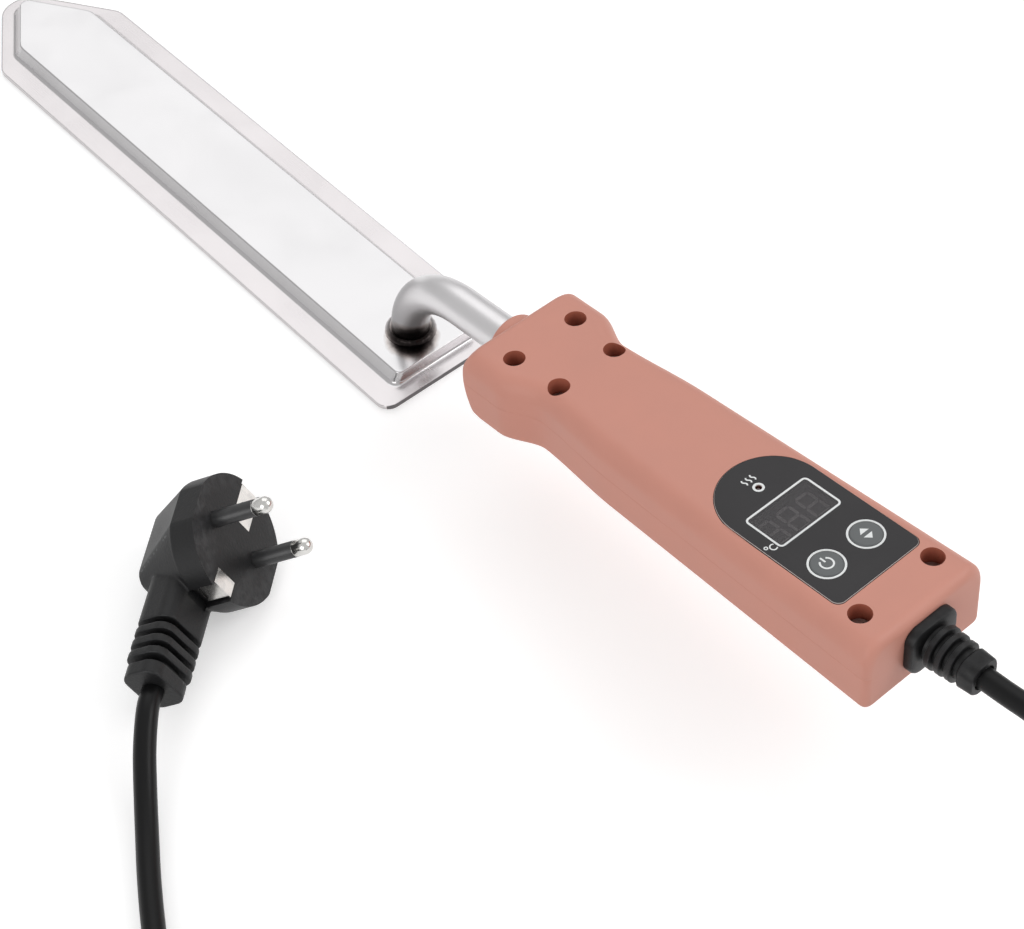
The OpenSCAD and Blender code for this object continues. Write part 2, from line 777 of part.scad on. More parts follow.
// Boss, saddle ribs and rear opening that both halves share, above the parting plane
module half_inside() {
    for (x = rib_xs) translate([-x - rib_t / 2, -half_width(-x) + wall - fuse, 0])
        cube([rib_t, 2 * (half_width(-x) - wall + fuse), roof + fuse]);
    for (p = well_spots) both_sides() translate([p[0], p[1], 0]) cylinder(h = roof + fuse, r = boss_r);
}

module front_boss() {
    rotate([0, 90, 0]) rotate([0, 0, 90]) rotate_extrude(angle = 180) translate([0, -boss_front_root]) {
        square([boss_front_r, boss_front_root + boss_front_reach - boss_front_edge]);
        square([boss_front_r - boss_front_edge, boss_front_root + boss_front_reach]);
        translate([boss_front_r - boss_front_edge, boss_front_root + boss_front_reach - boss_front_edge])
            circle(r = boss_front_edge);
    }
}

module half_cuts() {
    translate([-stem_in, 0, 0]) rotate([0, 90, 0])
        cylinder(h = stem_in + boss_front_reach + overrun, r = stem_r + fit_gap);
    translate([-collar_x - collar_t / 2 - loose_gap, 0, 0]) rotate([0, 90, 0])
        cylinder(h = collar_t + 2 * loose_gap, r = collar_r + loose_gap);
    translate([-handle_len - overrun, 0, 0]) rotate([0, 90, 0])
        cylinder(h = rear_wall + 2 * overrun, r = gland_neck_r + fit_gap);
}

module overlay_shape(gap) {
    translate([-panel_rear + panel_len - panel_half, 0]) intersection() {
        circle(r = panel_half + gap, $fn = 96);
        translate([0, -panel_half - gap]) square(2 * (panel_half + gap));
    }
    length = panel_len - panel_half + gap;
    half = panel_half + gap;
    translate([-panel_rear - gap + overlay_corner_r, -half]) square([length - overlay_corner_r, 2 * half]);
    translate([-panel_rear - gap, overlay_corner_r - half])
        square([overlay_corner_r, 2 * (half - overlay_corner_r)]);
    for (s = [-1, 1]) translate([-panel_rear - gap + overlay_corner_r, s * (half - overlay_corner_r)])
        circle(r = overlay_corner_r);
}

module handle_top_shell() {
    color("salmon") in_handle() difference() {
        union() {
            half_shell(top_r, front_top_r);
            half_inside();
            front_boss();
            for (p = well_spots) both_sides() translate([p[0], p[1], well_floor - well_skin])
                cylinder(h = roof + fuse - well_floor + well_skin, r = well_boss_r);
            for (p = post_spots) both_sides() translate([p[0], p[1], board_top])
                cylinder(h = roof + fuse - board_top, r = post_r);
        }
        half_cuts();
        for (p = well_spots) both_sides() translate([p[0], p[1], 0]) {
            translate([0, 0, well_floor]) cylinder(h = well_depth + overrun, r = well_d / 2);
            translate([0, 0, -overrun]) cylinder(h = well_floor + 2 * overrun, r = screw_r + fit_gap);
        }
        for (p = post_spots) both_sides() translate([p[0], p[1], board_top - overrun])
            cylinder(h = small_screw_len, r = small_screw_r + fit_gap);
        translate([0, 0, overlay_z]) linear_extrude(recess + overrun) overlay_shape(overlay_gap);
        translate([-window_x, 0, roof - overrun]) linear_extrude(wall + 2 * overrun)
            square([window_h - 2 * window_ledge, window_w - 2 * window_ledge], center = true);
        translate([-lamp_x, 0, roof - overrun])
            cylinder(h = wall + 2 * overrun, r = lamp_d / 2 + lamp_gap);
        for (s = [-1, 1]) translate([-button_x, s * button_y, roof - overrun])
            cylinder(h = wall + 2 * overrun, r = button_d / 2 + slide_gap);
    }
}

module handle_bottom_shell() {
    saddle_half = half_width(-clamp_x) - wall + fuse;
    color("lightsalmon") in_handle() mirror([0, 0, 1]) difference() {
        union() {
            half_shell(bottom_r, front_bottom_r);
            half_inside();
            front_boss();
            translate([-clamp_x - saddle_t / 2, -saddle_half, 0])
                cube([saddle_t, 2 * saddle_half, roof + fuse]);
            for (s = [-1, 1]) translate([-clamp_x, s * clamp_post_y, -cord_r - clamp_gap])
                cylinder(h = cord_r + clamp_gap + fuse, r = clamp_post_r);
        }
        half_cuts();
        for (p = well_spots) both_sides() translate([p[0], p[1], -overrun])
            cylinder(h = screw_len - well_floor + overrun + loose_gap, r = screw_r + fit_gap);
        translate([-inner_x0, 0, 0]) rotate([0, 90, 0])
            cylinder(h = inner_x0 - inner_x1, r = cord_r + clamp_gap);
        for (s = [-1, 1]) translate([-clamp_x, s * clamp_post_y, -cord_r - clamp_gap - overrun])
            cylinder(h = small_screw_len + overrun + loose_gap, r = small_screw_r + fit_gap);
    }
}

module case_screws() {
    color("silver") in_handle() for (p = well_spots) both_sides()
        translate([p[0], p[1], well_floor]) difference() {
            union() {
                cylinder(h = screw_head_h, r = screw_head_r);
                translate([0, 0, -screw_len]) cylinder(h = screw_len, r = screw_r);
            }
            for (a = [0, 90]) rotate([0, 0, a]) translate([0, 0, screw_head_h])
                cube([screw_slot_l, screw_slot_w, 2 * screw_slot_h], center = true);
        }
}

module stem_collar() {
    color("darkgray") in_handle() translate([-collar_x - collar_t / 2, 0, 0]) rotate([0, 90, 0])
        linear_extrude(collar_t) difference() {
            circle(r = collar_r);
            circle(r = stem_r + fit_gap);
        }
}

module control_overlay() {
    color("dimgray") in_handle() translate([0, 0, overlay_z]) linear_extrude(overlay_t) difference() {
        overlay_shape(0);
        translate([-window_x, 0])
            round_square(window_h + 2 * fit_gap, window_w + 2 * fit_gap, window_corner_r);
        translate([-lamp_x, 0]) circle(r = lamp_d / 2 - window_ledge + fit_gap);
        for (s = [-1, 1]) translate([-button_x, s * button_y]) circle(r = button_d / 2 + slide_gap);
    }
}

module display_window() {
    color("darkslategray") in_handle() translate([-window_x, 0, overlay_z]) linear_extrude(overlay_t)
        round_square(window_h, window_w, window_corner_r);
}

// Sunk figure-eight of bars, one per digit
module digit_bars() {
    for (x = [-1, 0, 1]) translate([x * digit_l / 2, 0])
        square([digit_stroke, digit_w - 2 * digit_stroke], center = true);
    for (x = [-1, 1], y = [-1, 1]) translate([x * digit_l / 4, y * digit_w / 2])
        square([digit_l / 2 - 2 * digit_stroke, digit_stroke], center = true);
}

module display_module() {
    color("black") in_handle() translate([-window_x, 0, board_top]) difference() {
        linear_extrude(display_h) square([display_l, display_w], center = true);
        for (k = [0 : digit_count - 1]) translate([0, (k - (digit_count - 1) / 2) * digit_pitch,
            display_h - digit_deep]) linear_extrude(digit_deep + overrun) digit_bars();
    }
}

module heat_lamp() {
    top = overlay_z - lamp_gap;
    r = lamp_d / 2;
    color("tomato") in_handle() translate([-lamp_x, 0, 0]) {
        translate([0, 0, lamp_low]) rotate_extrude() {
            square([lamp_flange_r, lamp_flange_h]);
            square([r, top - lamp_low - r]);
            intersection() {
                translate([0, top - lamp_low - r]) circle(r = r);
                translate([0, top - lamp_low - r]) square(r);
            }
        }
        for (s = [-1, 1]) translate([0, s * lamp_leg_y, board_top])
            cylinder(h = lamp_low - board_top, r = lamp_leg_r);
    }
}

// Cap, guide, flange under the shell and stem down into the switch
module button(side) {
    r = button_d / 2;
    top = overlay_z + overlay_t + button_proud;
    flange_top = roof - button_hang;
    stem_low = board_top + switch_h - button_stem_in;
    in_handle() translate([-button_x, side * button_y, 0]) rotate_extrude() {
        translate([0, flange_top]) square([r, top - button_dome - flange_top]);
        translate([0, flange_top]) square([r - button_dome, top - flange_top]);
        translate([r - button_dome, top - button_dome]) circle(r = button_dome);
        translate([0, flange_top - button_flange_t]) square([button_flange_r, button_flange_t]);
        translate([0, stem_low]) square([button_stem_r, flange_top - stem_low]);
    }
}

module power_button() {
    color("gray") button(1);
}

module set_button() {
    color("gray") button(-1);
}

module tact_switch(side) {
    in_handle() translate([-button_x, side * button_y, board_top]) difference() {
        linear_extrude(switch_h) round_square(switch_w, switch_w, switch_corner_r);
        translate([0, 0, switch_h - button_stem_in - button_travel - loose_gap])
            cylinder(h = switch_h, r = button_stem_r + switch_bore_gap);
    }
}

module power_switch() {
    color("black") tact_switch(1);
}

module set_switch() {
    color("black") tact_switch(-1);
}

module control_board() {
    length = board_rear - board_front;
    color("seagreen") in_handle() translate([-(board_rear + board_front) / 2, 0, board_under])
        linear_extrude(board_t) difference() {
            round_square(length, 2 * board_half, board_corner_r);
            for (p = post_spots, s = [-1, 1])
                translate([p[0] + (board_rear + board_front) / 2, s * p[1]])
                    circle(r = small_screw_r + loose_gap);
        }
}

module board_screws() {
    color("silver") in_handle() for (p = post_spots) both_sides()
        translate([p[0], p[1], board_under]) {
            translate([0, 0, -small_head_h]) cylinder(h = small_head_h, r = small_head_r);
            cylinder(h = small_screw_len, r = small_screw_r);
        }
}

module control_chip() {
    color("black") in_handle() translate([-chip_x, chip_y, board_top]) linear_extrude(chip_size[2])
        square([chip_size[0], chip_size[1]], center = true);
}

module triac() {
    color("black") in_handle() translate([-triac_x, triac_y, board_under - triac_size[2]]) {
        linear_extrude(triac_size[2]) square([triac_size[0], triac_size[1]], center = true);
        translate([triac_size[0] / 2 + triac_tab[0] / 2, 0, 0]) linear_extrude(triac_tab[2]) difference() {
            square([triac_tab[0], triac_tab[1]], center = true);
            circle(r = triac_hole_r);
        }
    }
}

module film_capacitor() {
    color("goldenrod") in_handle() translate([-film_x, film_y, board_under - film_size[2]])
        linear_extrude(film_size[2]) round_square(film_size[0], film_size[1], film_r);
}

module bulk_capacitor() {
    color("midnightblue") in_handle() translate([-bulk_x - bulk_len / 2, bulk_y,
        board_under - bulk_r - fit_gap]) rotate([0, 90, 0]) rotate_extrude() {
            square([bulk_r, bulk_len - bulk_rim]);
            square([bulk_r - bulk_rim, bulk_len]);
        }
}

module mains_fuse() {
    color("lightcyan") in_handle() translate([-fuse_x - fuse_len / 2, fuse_y,
        board_under - fuse_r - fuse_cap_t - fit_gap]) rotate([0, 90, 0]) rotate_extrude() {
            square([fuse_r, fuse_len]);
            square([fuse_r + fuse_cap_t, fuse_cap]);
            translate([0, fuse_len - fuse_cap]) square([fuse_r + fuse_cap_t, fuse_cap]);
        }
}

module mains_leads() {
    color("sienna") in_handle() for (s = [-1, 1]) wire([[-inner_x1 + core_r, s * core_y, core_z],
        [-core_rise_x, s * core_spread, core_z], [-core_rise_x, s * core_spread, board_under]], core_r);
}

module earth_lead() {
    color("yellowgreen") in_handle() tube(eased([[-inner_x1 + core_r, 0, earth_core_z],
        [-inner_x1 + cord_r, 0, earth_z], [-earth_turn_x, earth_y, earth_z],
        [-earth_end_x - cord_d, earth_y, earth_z], [-earth_end_x, stem_r + core_r + fit_gap, 0]],
        2 * core_r, 4), core_r, cord_sides);
}

module cord_inner() {
    color("black") in_handle() translate([-inner_x0, 0, 0]) rotate([0, 90, 0])
        cylinder(h = inner_x0 - inner_x1, r = cord_r);
}

module cord_clamp() {
    color("dimgray") in_handle() translate([-clamp_x, 0, cord_r + clamp_gap]) linear_extrude(clamp_size[2])
        difference() {
            round_square(clamp_size[0], clamp_size[1], switch_corner_r);
            for (s = [-1, 1]) translate([0, s * clamp_post_y]) circle(r = small_screw_r + loose_gap);
        }
}

module cord_clamp_screws() {
    color("silver") in_handle() for (s = [-1, 1])
        translate([-clamp_x, s * clamp_post_y, cord_r + clamp_gap + clamp_size[2]]) {
            cylinder(h = small_head_h, r = small_head_r);
            translate([0, 0, -small_screw_len]) cylinder(h = small_screw_len, r = small_screw_r);
        }
}

module strain_relief() {
    body = gland_len - flange_t - gland_end_t;
    step = body / gland_ribs;
    inner = inner_x0 - handle_len;
    color("darkslategray") in_handle() translate([-handle_len, 0, 0]) rotate([0, -90, 0]) {
        linear_extrude(flange_t) round_square(flange_h, flange_w, flange_corner_r);
        translate([0, 0, inner]) cylinder(h = -inner, r = gland_neck_r);
        translate([0, 0, inner]) cylinder(h = gland_inner_t, r = gland_inner_r);
        cylinder(h = gland_len, r1 = gland_core_r1, r2 = gland_core_r2);
        for (k = [1 : gland_ribs - 1]) translate([0, 0, flange_t + (k - 0.5) * step])
            cylinder(h = step * gland_rib_share, r = mix(gland_rib_r1, gland_rib_r2, k / gland_ribs));
        translate([0, 0, gland_len - gland_end_t]) cylinder(h = gland_end_t, r = gland_end_r);
    }
}

module cord_lead() {
    color("black") tube(lead_path, cord_r, cord_sides);
}

module cord_coil() {
    color("black") tube(coil_path, cord_r, coil_sides);
}

module cord_tail() {
    color("black") tube(tail_path, cord_r, cord_sides);
}

module cord_tie() {
    low = coil_in_r - coil_pitch / 4 - cord_r - tie_gap;
    high = coil_out_r + cord_r + tie_gap;
    tall = coil_z1 + cord_r + tie_gap - tie_t;
    color("dimgray") translate([coil_at[0], coil_at[1], tie_t]) rotate([0, 0, tie_angle]) rotate([90, 0, 0])
        translate([(low + high) / 2, tall / 2, -tie_w / 2]) linear_extrude(tie_w) difference() {
            round_square(high - low + 2 * tie_t, tall + 2 * tie_t, tie_r + tie_t);
            round_square(high - low, tall, tie_r);
        }
}

// Face disc cut by its two flat sides
module plug_face() {
    intersection() {
        circle(r = plug_d / 2);
        square([plug_d, plug_flat_w], center = true);
    }
}

module trunk_slice(x, length, w, h, r) {
    translate([x, 0, trunk_z]) rotate([90, 0, 90]) linear_extrude(length) round_square(w, h, r);
}

module plug_body() {
    rib_step = plug_rib_t + plug_rib_gap;
    rib_end = trunk_x1 + rib_count * rib_step;
    color("dimgray") in_plug() difference() {
        union() {
            translate([0, 0, -plug_disc_t]) linear_extrude(plug_disc_t) plug_face();
            hull() {
                translate([0, 0, -plug_disc_t - skin]) linear_extrude(skin) plug_face($fn = 32);
                translate([0, 0, -plug_depth]) linear_extrude(skin)
                    round_square(2 * plug_back_long, 2 * plug_back_half, plug_back_r, $fn = 16);
            }
            trunk_slice(trunk_root, trunk_x1 - trunk_root, trunk_w, trunk_h, trunk_r);
            trunk_slice(trunk_root, plug_reach - trunk_root, trunk_core_w, trunk_core_h, trunk_core_r);
            for (k = [0 : rib_count - 1]) trunk_slice(trunk_x1 + plug_rib_gap + k * rib_step, plug_rib_t,
                trunk_w, trunk_h, trunk_r);
            trunk_slice(rib_end + plug_rib_gap, plug_reach - rib_end - plug_rib_gap, trunk_w - plug_end_step,
                trunk_h - plug_end_step, trunk_r);
        }
        for (s = [-1, 1]) translate([0, s * pin_gap / 2, -pin_root]) cylinder(h = pin_root + overrun,
            r = pin_d / 2 + pin_collar + fit_gap);
        for (s = [-1, 1]) translate([s * (plug_d / 2 - clip_notch_d / 2 + overrun / 2), 0, -plug_disc_t / 2])
            cube([clip_notch_d + overrun, clip_notch_w, plug_disc_t + 2 * overrun], center = true);
        translate([-plug_d / 2, -strap_w / 2 - fit_gap, -strap_t])
            cube([strap_in + 2 * fit_gap, strap_w + 2 * fit_gap, strap_t + overrun]);
        translate([plug_d / 2 - clip_notch_d - clip_face, -strap_w / 2 - fit_gap, -strap_t])
            cube([clip_face + overrun, strap_w + 2 * fit_gap, strap_t + overrun]);
        translate([socket_x, 0, -socket_deep - strap_t])
            cylinder(h = socket_deep + strap_t + overrun, r = socket_r + socket_wall + fit_gap);
    }
}

module plug_pins() {
    r = pin_d / 2;
    color("silver") in_plug() for (s = [-1, 1]) translate([0, s * pin_gap / 2, -pin_root]) rotate_extrude() {
        square([r + pin_collar, pin_root]);
        square([r, pin_root + pin_len - r]);
        intersection() {
            translate([0, pin_root + pin_len - r]) circle(r = r);
            translate([0, pin_root + pin_len - r]) square(r);
        }
    }
}

module plug_earth_clips() {
    rim = plug_d / 2 - clip_notch_d;
    color("silver") in_plug() {
        for (s = [-1, 1]) translate([s * (rim + clip_t / 2), 0, -clip_len / 2])
            cube([clip_t, clip_w, clip_len], center = true);
        translate([rim - clip_face + fit_gap, -strap_w / 2, -strap_t])
            cube([clip_face - fit_gap + clip_t, strap_w, strap_t]);
        translate([-rim - clip_t, -strap_w / 2, -strap_t]) difference() {
            cube([strap_in - clip_notch_d + clip_t, strap_w, strap_t]);
            translate([rim + clip_t + socket_x, strap_w / 2, -overrun])
                cylinder(h = strap_t + 2 * overrun, r = socket_r);
        }
    }
}

module plug_earth_socket() {
    color("silver") in_plug() translate([socket_x, 0, -socket_deep - strap_t]) difference() {
        cylinder(h = socket_deep, r = socket_r + socket_wall);
        translate([0, 0, socket_floor]) cylinder(h = socket_deep, r = socket_r);
    }
}

blade_base_plate();
blade_top_plate();
mica_lower_sheet();
heating_element();
mica_upper_sheet();
insulation_pad();
temperature_sensor();
stem_tube();
weld_collar();
heater_leads();
sensor_leads();
handle_top_shell();
handle_bottom_shell();
case_screws();
stem_collar();
control_overlay();
display_window();
display_module();
heat_lamp();
power_button();
set_button();
power_switch();
set_switch();
control_board();
board_screws();
control_chip();
triac();
film_capacitor();
bulk_capacitor();
mains_fuse();
mains_leads();
earth_lead();
cord_inner();
cord_clamp();
cord_clamp_screws();
strain_relief();
cord_lead();
cord_coil();
cord_tail();
cord_tie();
plug_body();
plug_pins();
plug_earth_clips();
plug_earth_socket();
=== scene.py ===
import math
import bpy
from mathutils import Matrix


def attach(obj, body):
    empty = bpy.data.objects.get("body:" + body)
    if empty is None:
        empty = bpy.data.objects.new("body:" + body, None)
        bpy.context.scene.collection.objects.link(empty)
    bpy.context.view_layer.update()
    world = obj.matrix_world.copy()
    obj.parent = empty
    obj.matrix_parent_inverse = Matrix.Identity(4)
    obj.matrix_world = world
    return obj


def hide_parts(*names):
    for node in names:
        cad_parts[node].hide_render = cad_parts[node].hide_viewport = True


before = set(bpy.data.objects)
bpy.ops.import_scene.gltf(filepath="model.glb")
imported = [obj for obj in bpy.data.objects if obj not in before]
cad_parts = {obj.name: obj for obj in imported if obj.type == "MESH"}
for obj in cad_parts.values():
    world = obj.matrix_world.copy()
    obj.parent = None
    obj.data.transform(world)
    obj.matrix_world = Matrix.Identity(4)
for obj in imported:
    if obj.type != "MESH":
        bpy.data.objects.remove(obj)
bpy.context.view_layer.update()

from types import SimpleNamespace

import bmesh
import bpy
from bpy.props import FloatProperty, FloatVectorProperty, PointerProperty
from mathutils import Matrix, Vector

bl_info = {
    "name": "Electric hot knife",
    "version": (1, 0, 0),
    "blender": (4, 5, 0),
    "location": "View3D > Sidebar > Hot Knife",
    "description": "Dresses the packed hot knife: blade, neck, handle, controls, cord and plug",
    "category": "Object",
}

MM = 0.001
KNIFE = "knife"
SIDES = (1, -1)


# Properties

def length(name, description, mm):
    """A length property with its default given in millimetres."""
    return FloatProperty(name=name, description=description, default=mm * MM, min=0, precision=5,
                         unit="LENGTH")


def srgb(red, green, blue):
    """Linear colour from the 0 to 255 values of a screen colour."""
    def linear(c):
        return c / 12.92 if c <= 0.04045 else ((c + 0.055) / 1.055) ** 2.4
    return tuple(linear(c / 255) for c in (red, green, blue)) + (1.0,)


def colour(name, description, red, green, blue):
    """A colour property with its default given as a screen colour."""
    return FloatVectorProperty(name=name, description=description, subtype="COLOR", size=4, min=0,
                               max=1, default=srgb(red, green, blue))


class HotKnifeSizes(bpy.types.PropertyGroup):
    """Sizes that the pieces of the knife share."""

    blade_w: length("Blade width", "Across the flanges", 50)
    blade_straight: length("Blade straight", "From the rear edge to the tip's shoulder", 214)
    tip_run: length("Tip run", "From the shoulder to the sharp tip", 38.8)
    tip_r: length("Tip radius", "Round of the tip", 10)
    rear_corner_r: length("Rear corner", "Round of the blade's rear corners", 4.5)
    sheet_t: length("Sheet", "Thickness of each blade sheet", 0.9)
    panel_h: length("Panel height", "Top of the raised panel over the blade's face", 5.9)
    flange_side: length("Side flange", "Flat flange along the sides", 7.4)
    flange_tip: length("Tip flange", "Flat flange at the tip", 4.5)
    flange_rear: length("Rear flange", "Flat flange at the rear", 5.4)
    flank_run: length("Flank run", "Width of the sloped flank", 2.7)
    rear_run: length("Rear run", "Width of the steep rear flank", 0.5)
    stem_d: length("Tube diameter", "Outside of the neck tube", 12)
    stem_wall: length("Tube wall", "Wall of the neck tube", 1)
    stem_x: length("Tube place", "From the blade's rear edge to the tube's foot", 18.3)
    stem_bend_r: length("Bend radius", "Middle of the tube's bend", 29.6)
    stem_run: length("Tube run", "Straight run from the bend to the handle", 26.4)
    stem_in: length("Tube in handle", "Length of tube held by the handle", 46)
    handle_len: length("Handle length", "Front edge to rear face", 151)
    handle_t: length("Handle thickness", "Top face to bottom face", 22)
    guard_w: length("Guard width", "Widest place at the front", 41.8)
    guard_len: length("Guard length", "Straight sides of the guard", 12.5)
    neck_w: length("Neck width", "Narrow place behind the guard", 32)
    neck_x: length("Neck place", "From the front edge to the narrow place", 27)
    neck_blend: length("Neck blend", "Run in which the neck widens to the grip", 29)
    grip_front_w: length("Grip front", "Width that the grip tapers from", 34.8)
    grip_rear_w: length("Grip rear", "Width at the rear face", 42.6)
    front_bulge: length("Front bulge", "How far the front face swells", 3.2)
    wall: length("Wall", "Wall of the handle's shells", 2.2)
    cord_d: length("Cord diameter", "Outside of the mains cord", 6.2)
    gland_len: length("Strain relief", "Length of the cord's strain relief", 18.5)
    plug_d: length("Plug face", "Diameter of the plug's face", 38)
    plug_flat_w: length("Plug flats", "Width between the face's flat sides", 36)
    pin_d: length("Pin diameter", "Plug pins", 4.8)
    pin_len: length("Pin length", "Plug pins", 19)
    pin_gap: length("Pin spacing", "Middle to middle of the plug pins", 19)
    handle_pitch: FloatProperty(name="Handle pitch", description="Rise of the handle to the rear",
                                default=math.radians(6), subtype="ANGLE")


class HotKnifeColours(bpy.types.PropertyGroup):
    """Colours that the finishes are mixed from."""

    steel: colour("Blade steel", "Polished stainless sheet", 204, 203, 204)
    flange: colour("Flange steel", "Ground flange beside the raised panel", 202, 198, 199)
    tube: colour("Tube steel", "Satin stainless tube", 218, 216, 217)
    handle: colour("Handle", "Salmon pink moulded plastic", 201, 140, 124)
    overlay: colour("Label plate", "Dark grey control plate", 64, 63, 64)
    ink: colour("Ink", "Printed lines and marks", 226, 228, 228)
    button: colour("Buttons", "Push buttons", 92, 95, 96)
    cord: colour("Cord", "Cord sheath and strain relief", 13, 13, 14)
    plug: colour("Plug", "Moulded plug", 26, 26, 27)
    plated: colour("Plated metal", "Pins and clips", 214, 213, 210)


def sizes():
    """The shared sizes in millimetres, with the places that follow from them."""
    group = bpy.context.scene.hot_knife_sizes
    s = SimpleNamespace(**{key: getattr(group, key) / MM for key in group.__annotations__})
    pitch = group.handle_pitch
    s.handle_pitch = pitch
    s.half_t = s.handle_t / 2
    s.roof = s.half_t - s.wall
    s.stem_r = s.stem_d / 2
    s.cord_r = s.cord_d / 2
    s.tip_angle = math.atan(s.blade_w / 2 / s.tip_run)
    s.tip_sharp = s.blade_straight + s.tip_run
    s.tip_round_x = s.tip_sharp - s.tip_r / math.sin(s.tip_angle)
    s.bend = math.pi / 2 - pitch
    s.front_x = s.stem_x - s.stem_bend_r * (1 - math.cos(s.bend)) - s.stem_run * math.cos(pitch)
    s.front_z = s.panel_h + s.stem_bend_r * math.sin(s.bend) + s.stem_run * math.sin(pitch)
    s.gland_x = s.front_x - (s.handle_len + s.gland_len) * math.cos(pitch)
    s.gland_z = s.front_z + (s.handle_len + s.gland_len) * math.sin(pitch)
    s.mid_x = (s.tip_round_x + s.tip_r + s.gland_x - GLAND_END_R * math.sin(pitch)) / 2
    s.centred = Matrix.Translation((-s.mid_x, 0, 0))
    # The tint's middle is set off from the weld towards -X and +Y, where the painted dark reflection lies.
    s.weld = Vector((s.stem_x - s.mid_x + PAINTED_REFLECTION_SHIFT[0], PAINTED_REFLECTION_SHIFT[1], s.panel_h)) * MM
    s.in_handle = (Matrix.Translation((s.front_x - s.mid_x, 0, s.front_z))
                   @ Matrix.Rotation(pitch, 4, "Y"))
    s.plug_lift = (s.plug_flat_w / 2 * math.cos(PLUG_FLANK) + PLUG_DISC_T * math.sin(PLUG_FLANK)
                   + PLUG_FLOOR_GAP)
    s.in_plug = (Matrix.Translation((*PLUG_AT, s.plug_lift)) @ Matrix.Rotation(PLUG_TURN, 4, "Z")
                 @ Matrix.Rotation(PLUG_FLANK - math.pi / 2, 4, "X"))
    return s


def colours():
    """The finishes' colours as plain tuples."""
    group = bpy.context.scene.hot_knife_colours
    return SimpleNamespace(**{key: tuple(getattr(group, key)) for key in group.__annotations__})


# Mesh tools, in millimetres

JOIN_DISTANCE = 1e-7
CRISP_ANGLE = 35
AXIS_R = 0.01


def mix(a, b, t):
    """Value between a and b."""
    return a + (b - a) * t


def smooth(t):
    """Eased step from 0 to 1."""
    t = min(1, max(0, t))
    return t * t * (3 - 2 * t)


def steps(count):
    """Even shares from 0 to 1."""
    return [i / count for i in range(count + 1)]


def arc(x, y, r, start, end, count):
    """Points of an arc, with angles in degrees."""
    angles = [math.radians(mix(start, end, t)) for t in steps(count)]
    return [(x + r * math.cos(a), y + r * math.sin(a)) for a in angles]


def circle(x, y, r, count):
    """Points of a full circle."""
    return arc(x, y, r, 0, 360 - 360 / count, count - 1)


def round_rect(x, y, w, h, r, count=8):
    """Outline of a rectangle with rounded corners."""
    points = []
    for turn, (sx, sy) in enumerate(((1, 1), (-1, 1), (-1, -1), (1, -1))):
        points += arc(x + sx * (w / 2 - r), y + sy * (h / 2 - r), r, 90 * turn, 90 * turn + 90, count)
    return points


def stroke(points, width):
    """Outline of a line of even width through points."""
    sides = ([], [])
    last = len(points) - 1
    for i, p in enumerate(points):
        way = (Vector(points[min(i + 1, last)]) - Vector(points[max(i - 1, 0)])).normalized()
        for side, sign in zip(sides, SIDES):
            side.append((p[0] - sign * way.y * width / 2, p[1] + sign * way.x * width / 2))
    return sides[0] + sides[1][::-1]


def loft(rings, capped=True):
    """Vertices and faces of a skin through closed rings of equal counts."""
    m = len(rings[0])
    last = (len(rings) - 1) * m
    faces = []
    for base in range(0, last, m):
        for j in range(m):
            a, b = base + j, base + (j + 1) % m
            faces.append((a, b, b + m, a + m))
    if capped:
        faces += [tuple(range(m - 1, -1, -1)), tuple(range(last, last + m))]
    return [p for ring in rings for p in ring], faces


def prism(outline, low, high):
    """Vertices and faces of a straight extrusion along Z."""
    return loft([[(x, y, z) for x, y in outline] for z in (low, high)])


def turned(profile, count, ripple=lambda r, a: 0.0):
    """Vertices and faces of a profile of radius and height turned about Z."""
    angles = [2 * math.pi * k / count for k in range(count)]
    return loft([[((r + ripple(r, a)) * math.cos(a), (r + ripple(r, a)) * math.sin(a), z)
                  for a in angles] for r, z in profile])


def merged(*solids):
    """Several sets of vertices and faces as one."""
    verts, faces = [], []
    for v, f in solids:
        base = len(verts)
        verts += list(v)
        faces += [tuple(i + base for i in face) for face in f]
    return verts, faces


def moved(solid, matrix):
    """Vertices and faces with the vertices placed by a matrix."""
    return [matrix @ Vector(p) for p in solid[0]], solid[1]


def along_x(solid):
    """Turns a solid so that its Z runs along X."""
    return moved(solid, Matrix.Rotation(math.pi / 2, 4, "Y"))


def both_sides(solid, spots):
    """Copies of a solid at spots on both sides of the middle."""
    return merged(*[moved(solid, Matrix.Translation((x, side * y, 0))) for x, y in spots for side in SIDES])


def linked(name, data):
    """A new object in the scene."""
    obj = bpy.data.objects.new(name, data)
    bpy.context.scene.collection.objects.link(obj)
    return obj


def shade(obj, sharp=CRISP_ANGLE):
    """Smooth shading with edges sharper than an angle kept crisp."""
    obj.data.shade_smooth()
    obj.data.set_sharp_from_angle(angle=math.radians(sharp))


def clean_object(name, mesh, sharp=CRISP_ANGLE):
    """An object from a mesh, with its double points joined and its faces turned outward."""
    form = bmesh.new()
    form.from_mesh(mesh)
    bmesh.ops.remove_doubles(form, verts=form.verts, dist=JOIN_DISTANCE)
    bmesh.ops.recalc_face_normals(form, faces=form.faces)
    form.to_mesh(mesh)
    form.free()
    obj = linked(name, mesh)
    shade(obj, sharp)
    return obj


def solid_object(name, solid, place=Matrix(), sharp=CRISP_ANGLE):
    """An object from vertices in millimetres, placed and scaled to metres."""
    mesh = bpy.data.meshes.new(name)
    mesh.from_pydata([(place @ Vector(p)) * MM for p in solid[0]], [], solid[1])
    return clean_object(name, mesh, sharp)


def metres(place):
    """A placement in millimetres as one for meshes in metres."""
    scaled = place.copy()
    scaled.translation = place.translation * MM
    return scaled


def put(obj, place):
    """Moves a mesh that was made in its own frame to its place."""
    obj.data.transform(metres(place))
    if place.determinant() < 0:
        obj.data.flip_normals()


